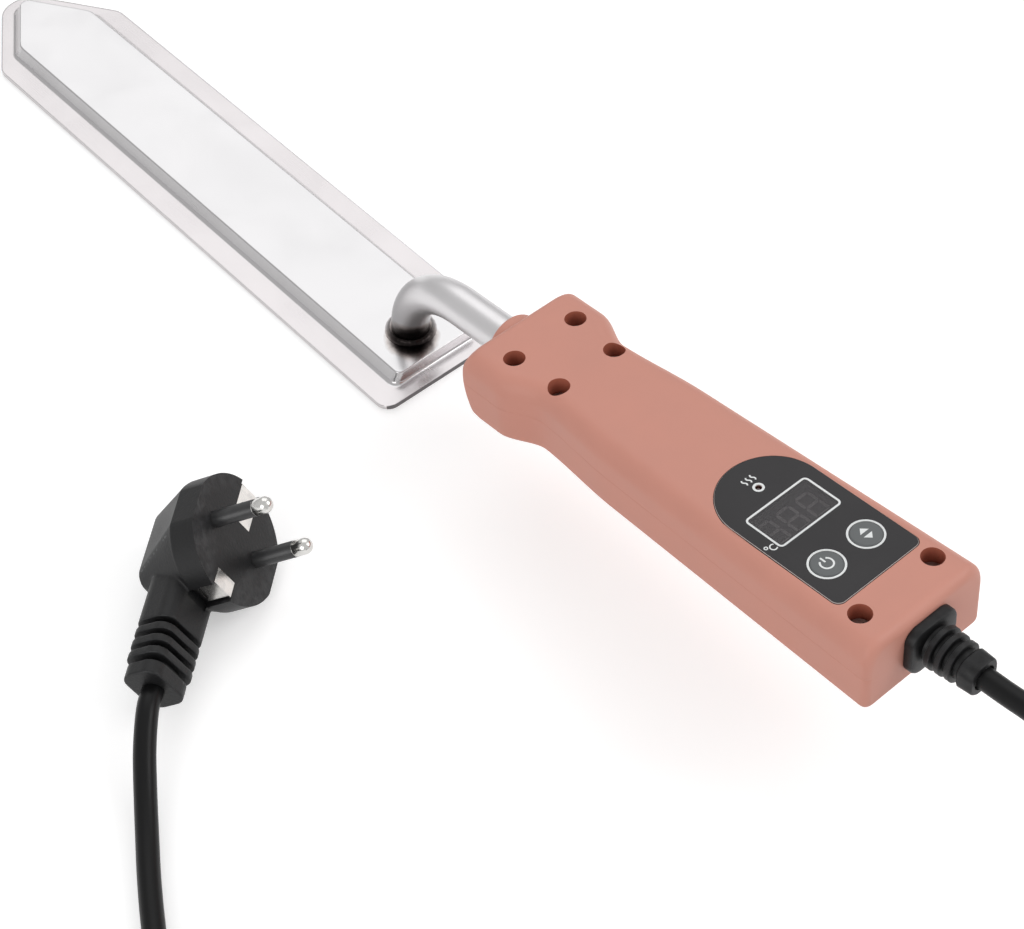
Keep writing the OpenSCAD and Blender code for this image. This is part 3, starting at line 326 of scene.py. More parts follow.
def evaluated_mesh(obj):
    """New mesh of an object as its modifiers or its curve make it."""
    bpy.context.view_layer.update()
    graph = bpy.context.evaluated_depsgraph_get()
    return bpy.data.meshes.new_from_object(obj.evaluated_get(graph), depsgraph=graph)


def settle(obj):
    """Replaces a mesh by what its modifiers make of it."""
    mesh, old = evaluated_mesh(obj), obj.data
    mesh.name = old.name
    obj.modifiers.clear()
    obj.data = mesh
    bpy.data.meshes.remove(old)


def carve(obj, solid, operation="DIFFERENCE"):
    """Cuts a solid out of an object in its own frame, or adds it to it."""
    cutter = solid_object("cutter", solid)
    change = obj.modifiers.new("carve", "BOOLEAN")
    change.operation, change.solver, change.object = operation, "EXACT", cutter
    settle(obj)
    mesh = cutter.data
    bpy.data.objects.remove(cutter)
    bpy.data.meshes.remove(mesh)


def spline(curve, points):
    """Adds a line through points in metres to a curve."""
    line = curve.splines.new("POLY")
    line.points.add(len(points) - 1)
    for point, place in zip(line.points, points):
        point.co = (*place, 1)
    return line


def plate_object(name, outlines, low, high, place, bevel=0.0):
    """A flat plate from outlines, the later ones being holes where they lie inside the first."""
    curve = bpy.data.curves.new(name, "CURVE")
    curve.dimensions, curve.fill_mode = "2D", "BOTH"
    curve.extrude = ((high - low) / 2 - bevel) * MM
    curve.bevel_depth, curve.bevel_resolution, curve.offset = bevel * MM, 2, -bevel * MM
    for outline in outlines:
        spline(curve, [(x * MM, y * MM, 0) for x, y in outline]).use_cyclic_u = True
    drawn = linked(name, curve)
    mesh = evaluated_mesh(drawn)
    mesh.name = name
    bpy.data.objects.remove(drawn)
    bpy.data.curves.remove(curve)
    mesh.transform(metres(place @ Matrix.Translation((0, 0, (low + high) / 2))))
    return clean_object(name, mesh)


def dress(obj, body, slot, materials, *nodes):
    """Gives a piece its finish and its body, and hides the CAD nodes that it stands for. The slot is not
    used.
    """
    obj.data.materials.clear()
    for material in materials if isinstance(materials, (list, tuple)) else [materials]:
        obj.data.materials.append(material)
    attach(obj, body)
    if nodes:
        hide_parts(*nodes)


def paint(names, material):
    """Gives CAD nodes that stay in view a finish."""
    for name in names:
        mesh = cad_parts[name]
        for place in mesh.material_slots:
            place.material = material
        if not mesh.material_slots:
            raise RuntimeError("no material slot on " + name)


# Shader nodes

FLOAT, COLOUR, VECTOR = "NodeSocketFloat", "NodeSocketColor", "NodeSocketVector"
WHITE, GREY = (1, 1, 1, 1), (0.5, 0.5, 0.5, 1)
MOTTLE_LOW, MOTTLE_HIGH = 0.3, 0.7
EDGE_FROM, EDGE_TO, EDGE_BREAKS, EDGE_KEEP_LOW, EDGE_KEEP_HIGH = 0.52, 0.62, 420.0, 0.35, 0.6
SMUDGE_LOW, SMUDGE_HIGH, DRAWN_SCALE = 0.4, 0.75, (30.0, 3000.0, 3000.0)
# Weld tint: oxide rings round the weld, and a dark middle that is a painted reflection of the shaded
# underside.
PAINTED_REFLECTION_SHIFT, TINT_NEAR, TINT_FAR, TINT_RAGGED, TINT_BREAKS = (-3.1, 2.2), 6.0, 10.2, 2.2, 260.0
TINT_TONES = [(0.35, srgb(112, 106, 104)), (0.7, srgb(222, 216, 212))]
TINT_AND_REFLECTION_MIDDLE, TINT_OUTSIDE = srgb(60, 56, 55), srgb(255, 255, 255)


def feed(tree, made, inputs):
    """Sets a node's inputs to values, or links them from sockets."""
    for key, value in inputs.items():
        if isinstance(value, bpy.types.NodeSocket):
            tree.links.new(value, made.inputs[key])
        else:
            made.inputs[key].default_value = value
    return made


def node(tree, kind, inputs=None, **settings):
    """Adds a shader node with its settings and inputs."""
    made = tree.nodes.new("ShaderNode" + kind)
    for key, value in settings.items():
        setattr(made, key, value)
    return feed(tree, made, inputs or {})


def combine(tree, operation, a, b, **settings):
    """Result of a Math node."""
    return node(tree, "Math", {0: a, 1: b}, operation=operation, **settings).outputs[0]


def ranged(tree, value, low, high, to_low=0.0, to_high=1.0):
    """A value carried from one range to another and held at its ends."""
    return node(tree, "MapRange", {"Value": value, "From Min": low, "From Max": high,
                                   "To Min": to_low, "To Max": to_high}).outputs["Result"]


def noise(tree, place, scale, detail, **inputs):
    """Values of a noise texture."""
    return node(tree, "TexNoise", {"Vector": place, "Scale": scale, "Detail": detail,
                                   **inputs}).outputs["Fac"]


def blend(tree, factor, a, b, kind="MIX"):
    """Mix of two colours."""
    return node(tree, "Mix", {"Factor": factor, 6: a, 7: b}, data_type="RGBA",
                blend_type=kind).outputs[2]


def own_place(tree):
    """Coordinates in the piece's own frame, in metres."""
    return node(tree, "TexCoord").outputs["Object"]


def bump(tree, height, strength, depth):
    """Normals of a relief whose depth is in millimetres."""
    return node(tree, "Bump", {"Height": height, "Strength": strength,
                               "Distance": depth * MM}).outputs["Normal"]


def build_grain(tree, inputs):
    """Fine moulded grain and broad mottling of a tone."""
    place = own_place(tree)
    fine = noise(tree, place, inputs["Fine Scale"], 4.0, Roughness=0.6)
    broad = noise(tree, place, inputs["Broad Scale"], 3.0, Roughness=0.5)
    tone = ranged(tree, broad, MOTTLE_LOW, MOTTLE_HIGH, -0.5, 0.5)
    lift = combine(tree, "ADD", combine(tree, "MULTIPLY", tone, inputs["Contrast"]), 1.0)
    return {"Colour": blend(tree, 1.0, inputs["Colour"], lift, "MULTIPLY"), "Height": fine,
            "Broad": broad}


def build_edge_wear_and_highlight(tree, inputs):
    """Lighter tone on pointed edges, broken up by noise: rubbed wear, and on the plug also painted
    highlights.
    """
    edge = ranged(tree, node(tree, "NewGeometry").outputs["Pointiness"], EDGE_FROM, EDGE_TO)
    kept = ranged(tree, noise(tree, own_place(tree), EDGE_BREAKS, 5.0), EDGE_KEEP_LOW, EDGE_KEEP_HIGH)
    mask = combine(tree, "MULTIPLY", combine(tree, "MULTIPLY", edge, kept), inputs["Amount"])
    return {"Colour": blend(tree, mask, inputs["Colour"], inputs["Worn"])}


def build_smudge(tree, inputs):
    """Roughness with soft smudges and fine drawn lines along X."""
    place = own_place(tree)
    cloud = noise(tree, place, inputs["Cloud Scale"], 4.0, Distortion=0.6)
    drawn = node(tree, "Mapping", {"Vector": place, "Scale": DRAWN_SCALE}).outputs["Vector"]
    lines = noise(tree, drawn, 1.0, 2.0)
    soft = combine(tree, "MULTIPLY", ranged(tree, cloud, SMUDGE_LOW, SMUDGE_HIGH), inputs["Smudge"])
    fine = combine(tree, "MULTIPLY", lines, inputs["Lines"])
    smudged = combine(tree, "ADD", inputs["Roughness"], soft)
    return {"Roughness": combine(tree, "ADD", smudged, fine, use_clamp=True), "Lines": lines,
            "Cloud": cloud}


def build_tint_and_painted_reflection(tree, inputs):
    """Oxide colours in soft rings round a weld, with a dark middle that is partly a painted reflection of the
    shaded underside.
    """
    place = own_place(tree)
    away = node(tree, "VectorMath", {0: place, 1: inputs["Weld"]}, operation="DISTANCE").outputs["Value"]
    ragged = combine(tree, "MULTIPLY", noise(tree, place, TINT_BREAKS, 3.0), TINT_RAGGED * MM)
    share = ranged(tree, combine(tree, "ADD", away, ragged), TINT_NEAR * MM, TINT_FAR * MM)
    rings = node(tree, "ValToRGB", {"Fac": share})
    band = rings.color_ramp.elements
    band[0].color, band[1].color = TINT_AND_REFLECTION_MIDDLE, TINT_OUTSIDE
    for at, tone in TINT_TONES:
        band.new(at).color = tone
    return {"Colour": blend(tree, 1.0, inputs["Colour"], rings.outputs["Color"], "MULTIPLY")}


SHARED_EFFECTS = {
    "moulded_grain": (build_grain, [
        ("Colour", COLOUR, GREY), ("Fine Scale", FLOAT, 2500.0), ("Broad Scale", FLOAT, 60.0),
        ("Contrast", FLOAT, 0.1)],
        [("Colour", COLOUR), ("Height", FLOAT), ("Broad", FLOAT)]),
    "edge_wear": (build_edge_wear_and_highlight, [
        ("Colour", COLOUR, GREY), ("Worn", COLOUR, WHITE), ("Amount", FLOAT, 0.4)],
        [("Colour", COLOUR)]),
    "drawn_and_smudged": (build_smudge, [
        ("Roughness", FLOAT, 0.15), ("Smudge", FLOAT, 0.1), ("Lines", FLOAT, 0.05),
        ("Cloud Scale", FLOAT, 40.0)],
        [("Roughness", FLOAT), ("Lines", FLOAT), ("Cloud", FLOAT)]),
    "weld_heat_tint": (build_tint_and_painted_reflection, [
        ("Colour", COLOUR, GREY), ("Weld", VECTOR, (0, 0, 0))],
        [("Colour", COLOUR)]),
}


def shader_group(name):
    """The node group of a shared effect, built once."""
    found = bpy.data.node_groups.get(name)
    if found:
        return found
    build, inputs, outputs = SHARED_EFFECTS[name]
    tree = bpy.data.node_groups.new(name, "ShaderNodeTree")
    for key, kind, default in inputs:
        socket = tree.interface.new_socket(name=key, in_out="INPUT", socket_type=kind)
        socket.default_value = default
    for key, kind in outputs:
        tree.interface.new_socket(name=key, in_out="OUTPUT", socket_type=kind)
    source = tree.nodes.new("NodeGroupInput")
    feed(tree, tree.nodes.new("NodeGroupOutput"), build(tree, source.outputs))
    return tree


def use(tree, effect, inputs):
    """Places a shared effect in a material with its own values."""
    return node(tree, "Group", inputs, node_tree=shader_group(effect)).outputs


# Finishes

STEEL_CLOUDS, PLATED_CLOUDS, FILM_CLOUDS = 36.0, 180.0, 160.0
DULL_SHARE, LINE_SHARE, PLATED_WORN = 0.93, 0.004, (0.9, 0.88, 0.84, 1)
MOTTLE_SCALE, SHEEN_SPAN, COAT_ROUGHNESS = 55.0, 0.05, 0.2


def blank(name):
    """A new material with its tree and its shader."""
    material = bpy.data.materials.new(name)
    material.use_nodes = True
    tree = material.node_tree
    return material, tree, tree.nodes["Principled BSDF"]


def steel_finish(name, tone, roughness, smudge, lines, waviness, wave_scale=24.0, weld=None):
    """Stainless steel with drawn lines, smudges, slow waves and, round a weld, heat tint with a painted dark
    reflection.
    """
    material, tree, shader = blank(name)
    marks = use(tree, "drawn_and_smudged", {"Roughness": roughness, "Smudge": smudge, "Lines": lines,
                                            "Cloud Scale": STEEL_CLOUDS})
    dull = tuple(c * DULL_SHARE for c in tone[:3]) + (1,)
    tinted = blend(tree, marks["Cloud"], tone, dull)
    if weld is not None:
        tinted = use(tree, "weld_heat_tint", {"Colour": tinted, "Weld": weld})["Colour"]
    waves = noise(tree, own_place(tree), wave_scale, 1.5)
    height = combine(tree, "ADD", waves, combine(tree, "MULTIPLY", marks["Lines"], LINE_SHARE))
    feed(tree, shader, {"Base Color": tinted, "Roughness": marks["Roughness"], "Metallic": 1.0,
                        "Normal": bump(tree, height, 1.0, waviness)})
    return material


def moulded_finish(name, tone, roughness, grain, contrast=0.08, fine_scale=2600.0, worn=None,
                   wear=0.0, coat=0.0, specular=0.5):
    """Moulded plastic or rubber with fine grain, mottling and, where it has an edge tone, lighter edges:
    rubbed wear, and on the plug also painted highlights.
    """
    material, tree, shader = blank(name)
    marks = use(tree, "moulded_grain", {"Colour": tone, "Fine Scale": fine_scale,
                                        "Broad Scale": MOTTLE_SCALE, "Contrast": contrast})
    shown = marks["Colour"]
    if worn is not None:
        shown = use(tree, "edge_wear", {"Colour": shown, "Worn": worn, "Amount": wear})["Colour"]
    sheen = ranged(tree, marks["Broad"], MOTTLE_LOW, MOTTLE_HIGH, roughness - SHEEN_SPAN,
                   roughness + SHEEN_SPAN)
    feed(tree, shader, {"Base Color": shown, "Roughness": sheen,
                        "Normal": bump(tree, marks["Height"], 0.5, grain),
                        "Specular IOR Level": specular, "Coat Weight": coat,
                        "Coat Roughness": COAT_ROUGHNESS})
    return material


def plated_finish(name, tone, roughness):
    """Bright plated metal with rubbed edges."""
    material, tree, shader = blank(name)
    rubbed = use(tree, "edge_wear", {"Colour": tone, "Worn": PLATED_WORN, "Amount": 0.5})
    marks = use(tree, "drawn_and_smudged", {"Roughness": roughness, "Smudge": 0.12, "Lines": 0.06,
                                            "Cloud Scale": PLATED_CLOUDS})
    feed(tree, shader, {"Base Color": rubbed["Colour"], "Roughness": marks["Roughness"],
                        "Metallic": 1.0, "Normal": bump(tree, marks["Lines"], 0.2, 0.02)})
    return material


def banded_finish(name, tone, other, scale, axis, roughness):
    """Two tones in bands along an axis, for braid, windings and traces."""
    material, tree, shader = blank(name)
    bands = node(tree, "TexWave", {"Vector": own_place(tree), "Scale": scale, "Distortion": 2.5,
                                   "Detail": 2.0}, bands_direction=axis).outputs["Fac"]
    marks = use(tree, "moulded_grain", {"Colour": blend(tree, bands, tone, other), "Contrast": 0.15})
    feed(tree, shader, {"Base Color": marks["Colour"], "Roughness": roughness,
                        "Normal": bump(tree, bands, 0.4, 0.1)})
    return material


def film_finish(name, tone, roughness, alpha):
    """Thin tinted film with smudges that shows what lies behind it."""
    material, tree, shader = blank(name)
    marks = use(tree, "drawn_and_smudged", {"Roughness": roughness, "Smudge": 0.1, "Lines": 0.0,
                                            "Cloud Scale": FILM_CLOUDS})
    hues = use(tree, "moulded_grain", {"Colour": tone, "Contrast": 0.08})
    feed(tree, shader, {"Base Color": hues["Colour"], "Roughness": marks["Roughness"], "Alpha": alpha,
                        "Specular IOR Level": 0.4})
    return material


# Stage, with the camera's place in millimetres and the lamps' in metres

CAMERA_AT = (-377.435, 276.49, 487.66)
CAMERA_TURN, CAMERA_RISE, CAMERA_ROLL = (math.radians(angle) for angle in (40.09, 49.66, -1.38))
CAMERA_LENS, SENSOR = 76.134, 36.0
CAMERA_NEAR, CAMERA_FAR = 0.01, 50.0
LAMPS = [("overhead", (0.75, -0.6, 1.3), (0.0, 0.0, 0.0), 1.5, 6.0),
         ("key", (-0.9, -0.9, 1.1), (-0.05, 0.0, 0.03), 0.8, 7.2),
         ("fill", (-0.5, 1.4, 0.6), (-0.05, 0.05, 0.03), 1.0, 7.4)]
FAR_WAY, FAR_FROM, FAR_TO = (0.765, -0.644, 0.0), 0.1, 0.8
MIRRORED_NEAR, MIRRORED_FAR, MIRRORED_HIGH, HIGH_FROM = 0.68, 0.48, 0.72, 0.55
EVEN_LIGHT = 0.57
FLOOR_HALF, FLOOR_DROP, FLOOR_TONE = 6, 0.3, 0.78
FLOOR_GLOW, FAR_GLOW, GLOW_FROM, GLOW_TO = 0.42, 0.6, 0.7, 3.0


def place_camera():
    """Camera at the photograph's viewing angle."""
    data = bpy.data.cameras.new("view")
    data.sensor_width, data.lens = SENSOR, CAMERA_LENS
    data.clip_start, data.clip_end = CAMERA_NEAR, CAMERA_FAR
    camera = linked("view", data)
    camera.matrix_world = (Matrix.Translation(Vector(CAMERA_AT) * MM)
                           @ Matrix.Rotation(-math.pi / 2 - CAMERA_TURN, 4, "Z")
                           @ Matrix.Rotation(math.pi / 2 - CAMERA_RISE, 4, "X")
                           @ Matrix.Rotation(CAMERA_ROLL, 4, "Z"))
    bpy.context.scene.camera = camera


def soft_light(name, at, aim, width, power):
    """A square studio lamp aimed at a point."""
    data = bpy.data.lights.new(name, "AREA")
    data.shape, data.size, data.energy = "SQUARE", width, power
    lamp = linked(name, data)
    lamp.location = at
    lamp.rotation_mode = "QUATERNION"
    lamp.rotation_quaternion = (Vector(aim) - Vector(at)).to_track_quat("-Z", "Y")


def light_world():
    """White to the camera, even to the object, and to reflections greyer low down at the far side."""
    world = bpy.data.worlds.new("studio")
    bpy.context.scene.world = world
    world.use_nodes = True
    tree = world.node_tree
    tree.nodes.clear()

    def background(strength):
        return node(tree, "Background", {"Color": WHITE, "Strength": strength}).outputs[0]

    rays = node(tree, "LightPath").outputs
    way = node(tree, "TexCoord").outputs["Generated"]
    high = node(tree, "SeparateXYZ", {"Vector": way}).outputs["Z"]
    far = node(tree, "VectorMath", {0: way, 1: FAR_WAY}, operation="DOT_PRODUCT").outputs["Value"]
    low = ranged(tree, far, FAR_FROM, FAR_TO, MIRRORED_NEAR, MIRRORED_FAR)
    mirrored = background(ranged(tree, high, 0.0, HIGH_FROM, low, MIRRORED_HIGH))
    shiny = node(tree, "MixShader", {0: rays["Is Glossy Ray"], 1: background(EVEN_LIGHT),
                                     2: mirrored}).outputs[0]
    seen = combine(tree, "MAXIMUM", rays["Is Camera Ray"], rays["Is Transmission Ray"])
    last = node(tree, "MixShader", {0: seen, 1: shiny, 2: background(1.0)}).outputs[0]
    node(tree, "OutputWorld", {"Surface": last})


def lay_floor():
    """Pale floor that shows white and keeps the shadow."""
    form = bmesh.new()
    bmesh.ops.create_grid(form, x_segments=8, y_segments=8, size=FLOOR_HALF)
    mesh = bpy.data.meshes.new("floor")
    form.to_mesh(mesh)
    form.free()
    floor = linked("floor", mesh)
    floor.location = (0, 0, -FLOOR_DROP * MM)
    material = bpy.data.materials.new("floor_white")
    material.use_nodes = True
    tree = material.node_tree
    tree.nodes.clear()
    rays = node(tree, "LightPath").outputs
    seen = combine(tree, "MAXIMUM", rays["Is Camera Ray"], rays["Is Glossy Ray"])
    seen = combine(tree, "MAXIMUM", seen, rays["Is Transmission Ray"])
    away = node(tree, "VectorMath", {0: own_place(tree)}, operation="LENGTH").outputs["Value"]
    lift = ranged(tree, away, GLOW_FROM, GLOW_TO, FLOOR_GLOW, FAR_GLOW)
    matt = node(tree, "BsdfDiffuse", {"Color": (FLOOR_TONE, FLOOR_TONE, FLOOR_TONE, 1)})
    light = node(tree, "Emission", {"Color": WHITE, "Strength": combine(tree, "MULTIPLY", seen, lift)})
    both = node(tree, "AddShader", {0: matt.outputs[0], 1: light.outputs[0]})
    node(tree, "OutputMaterial", {"Surface": both.outputs[0]})
    mesh.materials.append(material)


class HOTKNIFE_OT_stage(bpy.types.Operator):
    """Camera, floor, lamps and world"""

    bl_idname = "hot_knife.stage"
    bl_label = "Stage"

    def execute(self, context):
        context.scene.view_settings.view_transform = "Standard"
        place_camera()
        lay_floor()
        light_world()
        for lamp in LAMPS:
            soft_light(*lamp)
        return {"FINISHED"}


# Cord, in millimetres and turns

COIL_AT, COIL_MID_R, COIL_PITCH, COIL_TURNS = (-245, 128), 35.5, 6.8, 2.375
COIL_Z0, COIL_Z1, COIL_CROSSING = 4.25, 11.05, 0.5
TURN_STEPS, ROUTE_STEPS = 64, 6
LEAD_POINTS = [(-252, 2, 57.2), (-266, 8.5, 53), (-277, 20, 45), (-284, 34, 34.5), (-288, 50, 24),
               (-289, 67, 16), (-289, 84, 12.4), (-288.7, 101, 11.4)]
TAIL_POINTS = [(-219, 172.3, 4), (-200, 176, 3.4), (-182, 182, 3.3), (-164, 187.5, 3.3),
               (-146, 188.5, 3.3), (-130, 184.5, 3.3), (-116, 177, 3.3), (-105, 170.5, 3.4),
               (-95, 164, 4.2), (-85, 157.2, 6.3), (-76, 150.6, 9.4)]


def spline_points(points):
    """Smooth route through given points."""
    route = []
    last = len(points) - 1
    for i in range(last):
        a, b, c, d = (Vector(points[k]) for k in (max(i - 1, 0), i, i + 1, min(i + 2, last)))
        for k in range(ROUTE_STEPS):
            t = k / ROUTE_STEPS
            route.append((2 * b + (c - a) * t + (2 * a - 5 * b + 4 * c - d) * t * t
                          + (3 * b - a - 3 * c + d) * t ** 3) / 2)
    return route + [Vector(points[last])]


def coil_point(t):
    """Point of the coil: in on the upper layer, out on the lower one."""
    out_r = COIL_MID_R + COIL_PITCH * COIL_TURNS / 2
    half = COIL_TURNS + COIL_CROSSING / 2
    r = out_r - COIL_PITCH * (t if t < half else 2 * half - t)
    a = math.radians(180 - 360 * t)
    z = mix(COIL_Z1, COIL_Z0, smooth((t - COIL_TURNS) / COIL_CROSSING))
    return Vector((COIL_AT[0] + r * math.cos(a), COIL_AT[1] + r * math.sin(a), z))


def cord_route(s):
    """Whole route of the cord from the strain relief to the plug's mouth."""
    d = s.cord_d
    pitch = s.handle_pitch
    start = Vector((s.gland_x - s.mid_x, 0, s.gland_z))
    way = Vector((-math.cos(pitch), 0, math.sin(pitch)))
    total = 2 * COIL_TURNS + COIL_CROSSING
    loops = [coil_point(total * t) for t in steps(round(TURN_STEPS * total))]
    way_in, way_out = Vector((0, 1, 0)), Vector((1, 0, 0))
    coil_in, coil_out = loops[0] - d * way_in, loops[-1] + d * way_out
    mouth = s.in_plug @ Vector((PLUG_REACH, 0, TRUNK_Z))
    plug_way = Vector((math.cos(PLUG_TURN), math.sin(PLUG_TURN), 0))
    lead = spline_points([start, start + d * way, start + 3 * d * way, *LEAD_POINTS,
                          coil_in - d * way_in, coil_in])
    tail = spline_points([coil_out, coil_out + d * way_out, *TAIL_POINTS, mouth + d * plug_way, mouth])
    return lead + loops + tail


class HOTKNIFE_OT_cord(bpy.types.Operator):
    """Mains cord from the handle through its coil to the plug"""

    bl_idname = "hot_knife.cord"
    bl_label = "Cord"

    def execute(self, context):
        s, c = sizes(), colours()
        curve = bpy.data.curves.new("mains_cord", "CURVE")
        curve.dimensions = "3D"
        curve.bevel_depth = s.cord_r * MM
        curve.bevel_resolution = 6
        curve.use_fill_caps = True
        spline(curve, [p * MM for p in cord_route(s)]).use_smooth = True
        dress(linked("mains_cord", curve), KNIFE, "cord_sheath",
              moulded_finish("cord_rubber", c.cord, 0.36, 0.05, contrast=0.15, fine_scale=1800.0,
                             specular=0.2),
              "cord_lead", "cord_coil", "cord_tail")
        paint(["cord_tie"], banded_finish("tie_weave", srgb(46, 46, 48), srgb(30, 30, 32), 700.0,
                                          "DIAGONAL", 0.8))
        return {"FINISHED"}


# Blade, in millimetres

SHOULDER_EASE = 2.0
RIM_ROLL = [(0.0, 0.2), (0.08, 0.06), (0.25, 0.0), (0.7, 0.0)]
BASE_ROLL = [(0.3, 0.0), (0.1, 0.08), (0.0, 0.3)]
RIM_CORNER_SHARE = 0.5
FOOT_EASE, FOOT_RUN_IN, CREST_EASE, CREST_RUN_ON = 1.0, 0.4, 0.4, 0.6
PANEL_FOOT_R, PANEL_TOP_R = 3.2, 2.0
RAISED_FROM = 0.03
LEVEL, SIDEWAYS, REARWARD = 0.95, 0.3, 0.7
SHEET_CRISP = 28
GROUND, PAINTED_SHADE_REAR, POLISHED, DRAWN, BRUSHED_PAINTED_LIGHT = range(5)


def blade_ring(s, side, tip, rear, r, z):
    """Outline of the blade drawn in by its flanges, as a level ring."""
    half = s.blade_w / 2 - side
    slope = s.tip_angle
    shoulder = s.tip_sharp - tip / math.sin(slope) - half / math.tan(slope)
    upper = arc(s.tip_round_x, 0, s.tip_r - tip, 0, 90 - math.degrees(slope), 14)
    a = Vector((shoulder + SHOULDER_EASE * math.cos(slope), half - SHOULDER_EASE * math.sin(slope)))
    b, c = Vector((shoulder, half)), Vector((shoulder - SHOULDER_EASE, half))
    upper += [tuple(mix(mix(a, b, t), mix(b, c, t), t)) for t in steps(5)]
    upper += arc(rear + r, half - r, r, 90, 180, 8)
    lower = [(x, -y) for x, y in reversed(upper[1:])]
    return [(x, y, z) for x, y in upper + lower]


def sheet_ring(s, share, inward, z):
    """Ring of a sheet's rim, drawn inward, or of the raised panel at a share of its flank."""
    if share is None:
        return blade_ring(s, inward, inward, inward, s.rear_corner_r - inward * RIM_CORNER_SHARE, z)
    run = s.flank_run * share + inward
    return blade_ring(s, s.flange_side + run, s.flange_tip + run,
                      s.flange_rear + s.rear_run * share + inward,
                      mix(PANEL_FOOT_R, PANEL_TOP_R, share), z)


def pressed_stations(s):
    """Stations of the pressed sheet from its rim: share of the flank, inward run, height."""
    rise = s.panel_h - s.sheet_t
    flange = 2 * s.sheet_t
    foot = s.sheet_t / rise
    found = [(None, 0.0, s.sheet_t)]
    found += [(None, inward, flange - drop) for inward, drop in RIM_ROLL]
    found.append((foot, -FOOT_EASE - FOOT_RUN_IN, flange))
    for t in steps(5):
        climb = FOOT_EASE * t * t
        found.append((foot + climb / rise, -FOOT_EASE * (1 - t) ** 2, flange + climb))
    for t in steps(6):
        left = CREST_EASE * (1 - t) ** 2
        found.append((1 - left / rise, CREST_EASE * t * t, s.panel_h - left))
    found.append((1.0, CREST_EASE + CREST_RUN_ON, s.panel_h))
    return found


def sheet_part(s, face):
    """Which finish a face of the blade's sheets takes."""
    height = face.center.z / MM
    if height > 2 * s.sheet_t + RAISED_FROM:
        if face.normal.z > LEVEL:
            return POLISHED
        # Flank faces turned to +X or -Y take a rougher steel in a lighter tone; the lighter tone is painted
        # light.
        return BRUSHED_PAINTED_LIGHT if face.normal.x > SIDEWAYS or face.normal.y < -SIDEWAYS else DRAWN
    # Sheet edges facing -X take a dark steel: painted shade on the rear edge.
    at_rear = face.normal.x < -REARWARD and abs(height - s.sheet_t) < s.sheet_t
    return PAINTED_SHADE_REAR if at_rear else GROUND


class HOTKNIFE_OT_blade(bpy.types.Operator):
    """Pressed top sheet and flat base sheet of the blade"""

    bl_idname = "hot_knife.blade"
    bl_label = "Blade"

    def execute(self, context):
        s, c = sizes(), colours()
        finishes = [
            steel_finish("ground_flange_steel", c.flange, 0.2, 0.08, 0.05, 0.03),
            # Darker steel for the rear edges: painted shade.
            steel_finish("sheared_edge_steel", srgb(112, 109, 110), 0.4, 0.1, 0.1, 0.03),
            steel_finish("polished_blade_steel", c.steel, 0.16, 0.08, 0.03, 0.05, weld=s.weld),
            steel_finish("drawn_flank_steel", srgb(196, 194, 195), 0.2, 0.08, 0.05, 0.03),
            # Rougher flank steel, lighter than the drawn flank: painted light on the far and tip flanks.
            steel_finish("brushed_flank_steel", srgb(226, 223, 224), 0.5, 0.08, 0.05, 0.03)]
        rings = [sheet_ring(s, 1.0, s.sheet_t, s.panel_h - s.sheet_t),
                 sheet_ring(s, 0.0, s.sheet_t, s.sheet_t)]
        rings += [sheet_ring(s, *station) for station in pressed_stations(s)]
        top = solid_object("blade_pressed_sheet", loft(rings), s.centred, SHEET_CRISP)
        dress(top, KNIFE, "steel_blade", finishes, "blade_top_plate")
        rings = [sheet_ring(s, None, inward, z) for inward, z in [*BASE_ROLL, (0.0, s.sheet_t)]]
        bottom = solid_object("blade_base_sheet", loft(rings), s.centred, SHEET_CRISP)
        dress(bottom, KNIFE, "steel_blade", finishes[:POLISHED], "blade_base_plate")
        for sheet in (top, bottom):
            for face in sheet.data.polygons:
                face.material_index = sheet_part(s, face)
        return {"FINISHED"}


# Neck tube, in millimetres

TUBE_SIDES, TUBE_LEAD_IN, TUBE_LEAD_OUT, TUBE_CRISP = 72, 0.2, 0.5, 40
WELD_LAP, WELD_REACH, WELD_H, WELD_LIFT, WELD_CALM, WELD_CRISP = 0.1, 2.06, 1.5, 0.15, 0.2, 60
RIPPLES = [(0.04, 26, 0), (0.03, 5, 1)]


def tube_ring(s, turn, run, r):
    """Ring of the neck tube at a turn of its bend and a run past it."""
    ring = []
    for k in range(TUBE_SIDES):
        a = 2 * math.pi * k / TUBE_SIDES
        q = s.stem_bend_r + r * math.cos(a)
        ring.append((s.stem_x - s.stem_bend_r + q * math.cos(turn) - run * math.sin(turn),
                     r * math.sin(a), s.panel_h + q * math.sin(turn) + run * math.cos(turn)))
    return ring


def weld_bead(s):
    """Fillet of the weld, with the ripple of its passes outside."""
    inside, outside = s.stem_r - WELD_LAP, s.stem_r + WELD_REACH

    def ripple(r, a):
        if r < s.stem_r + WELD_CALM:
            return 0.0
        return sum(high * (math.sin(count * a + shift) - 1) for high, count, shift in RIPPLES)

    fillet = arc(outside, WELD_H + WELD_LIFT, WELD_H, 270, 186, 10)
    return turned([(inside, 0.0), (outside, 0.0), *fillet, (inside, WELD_H)], 144, ripple)


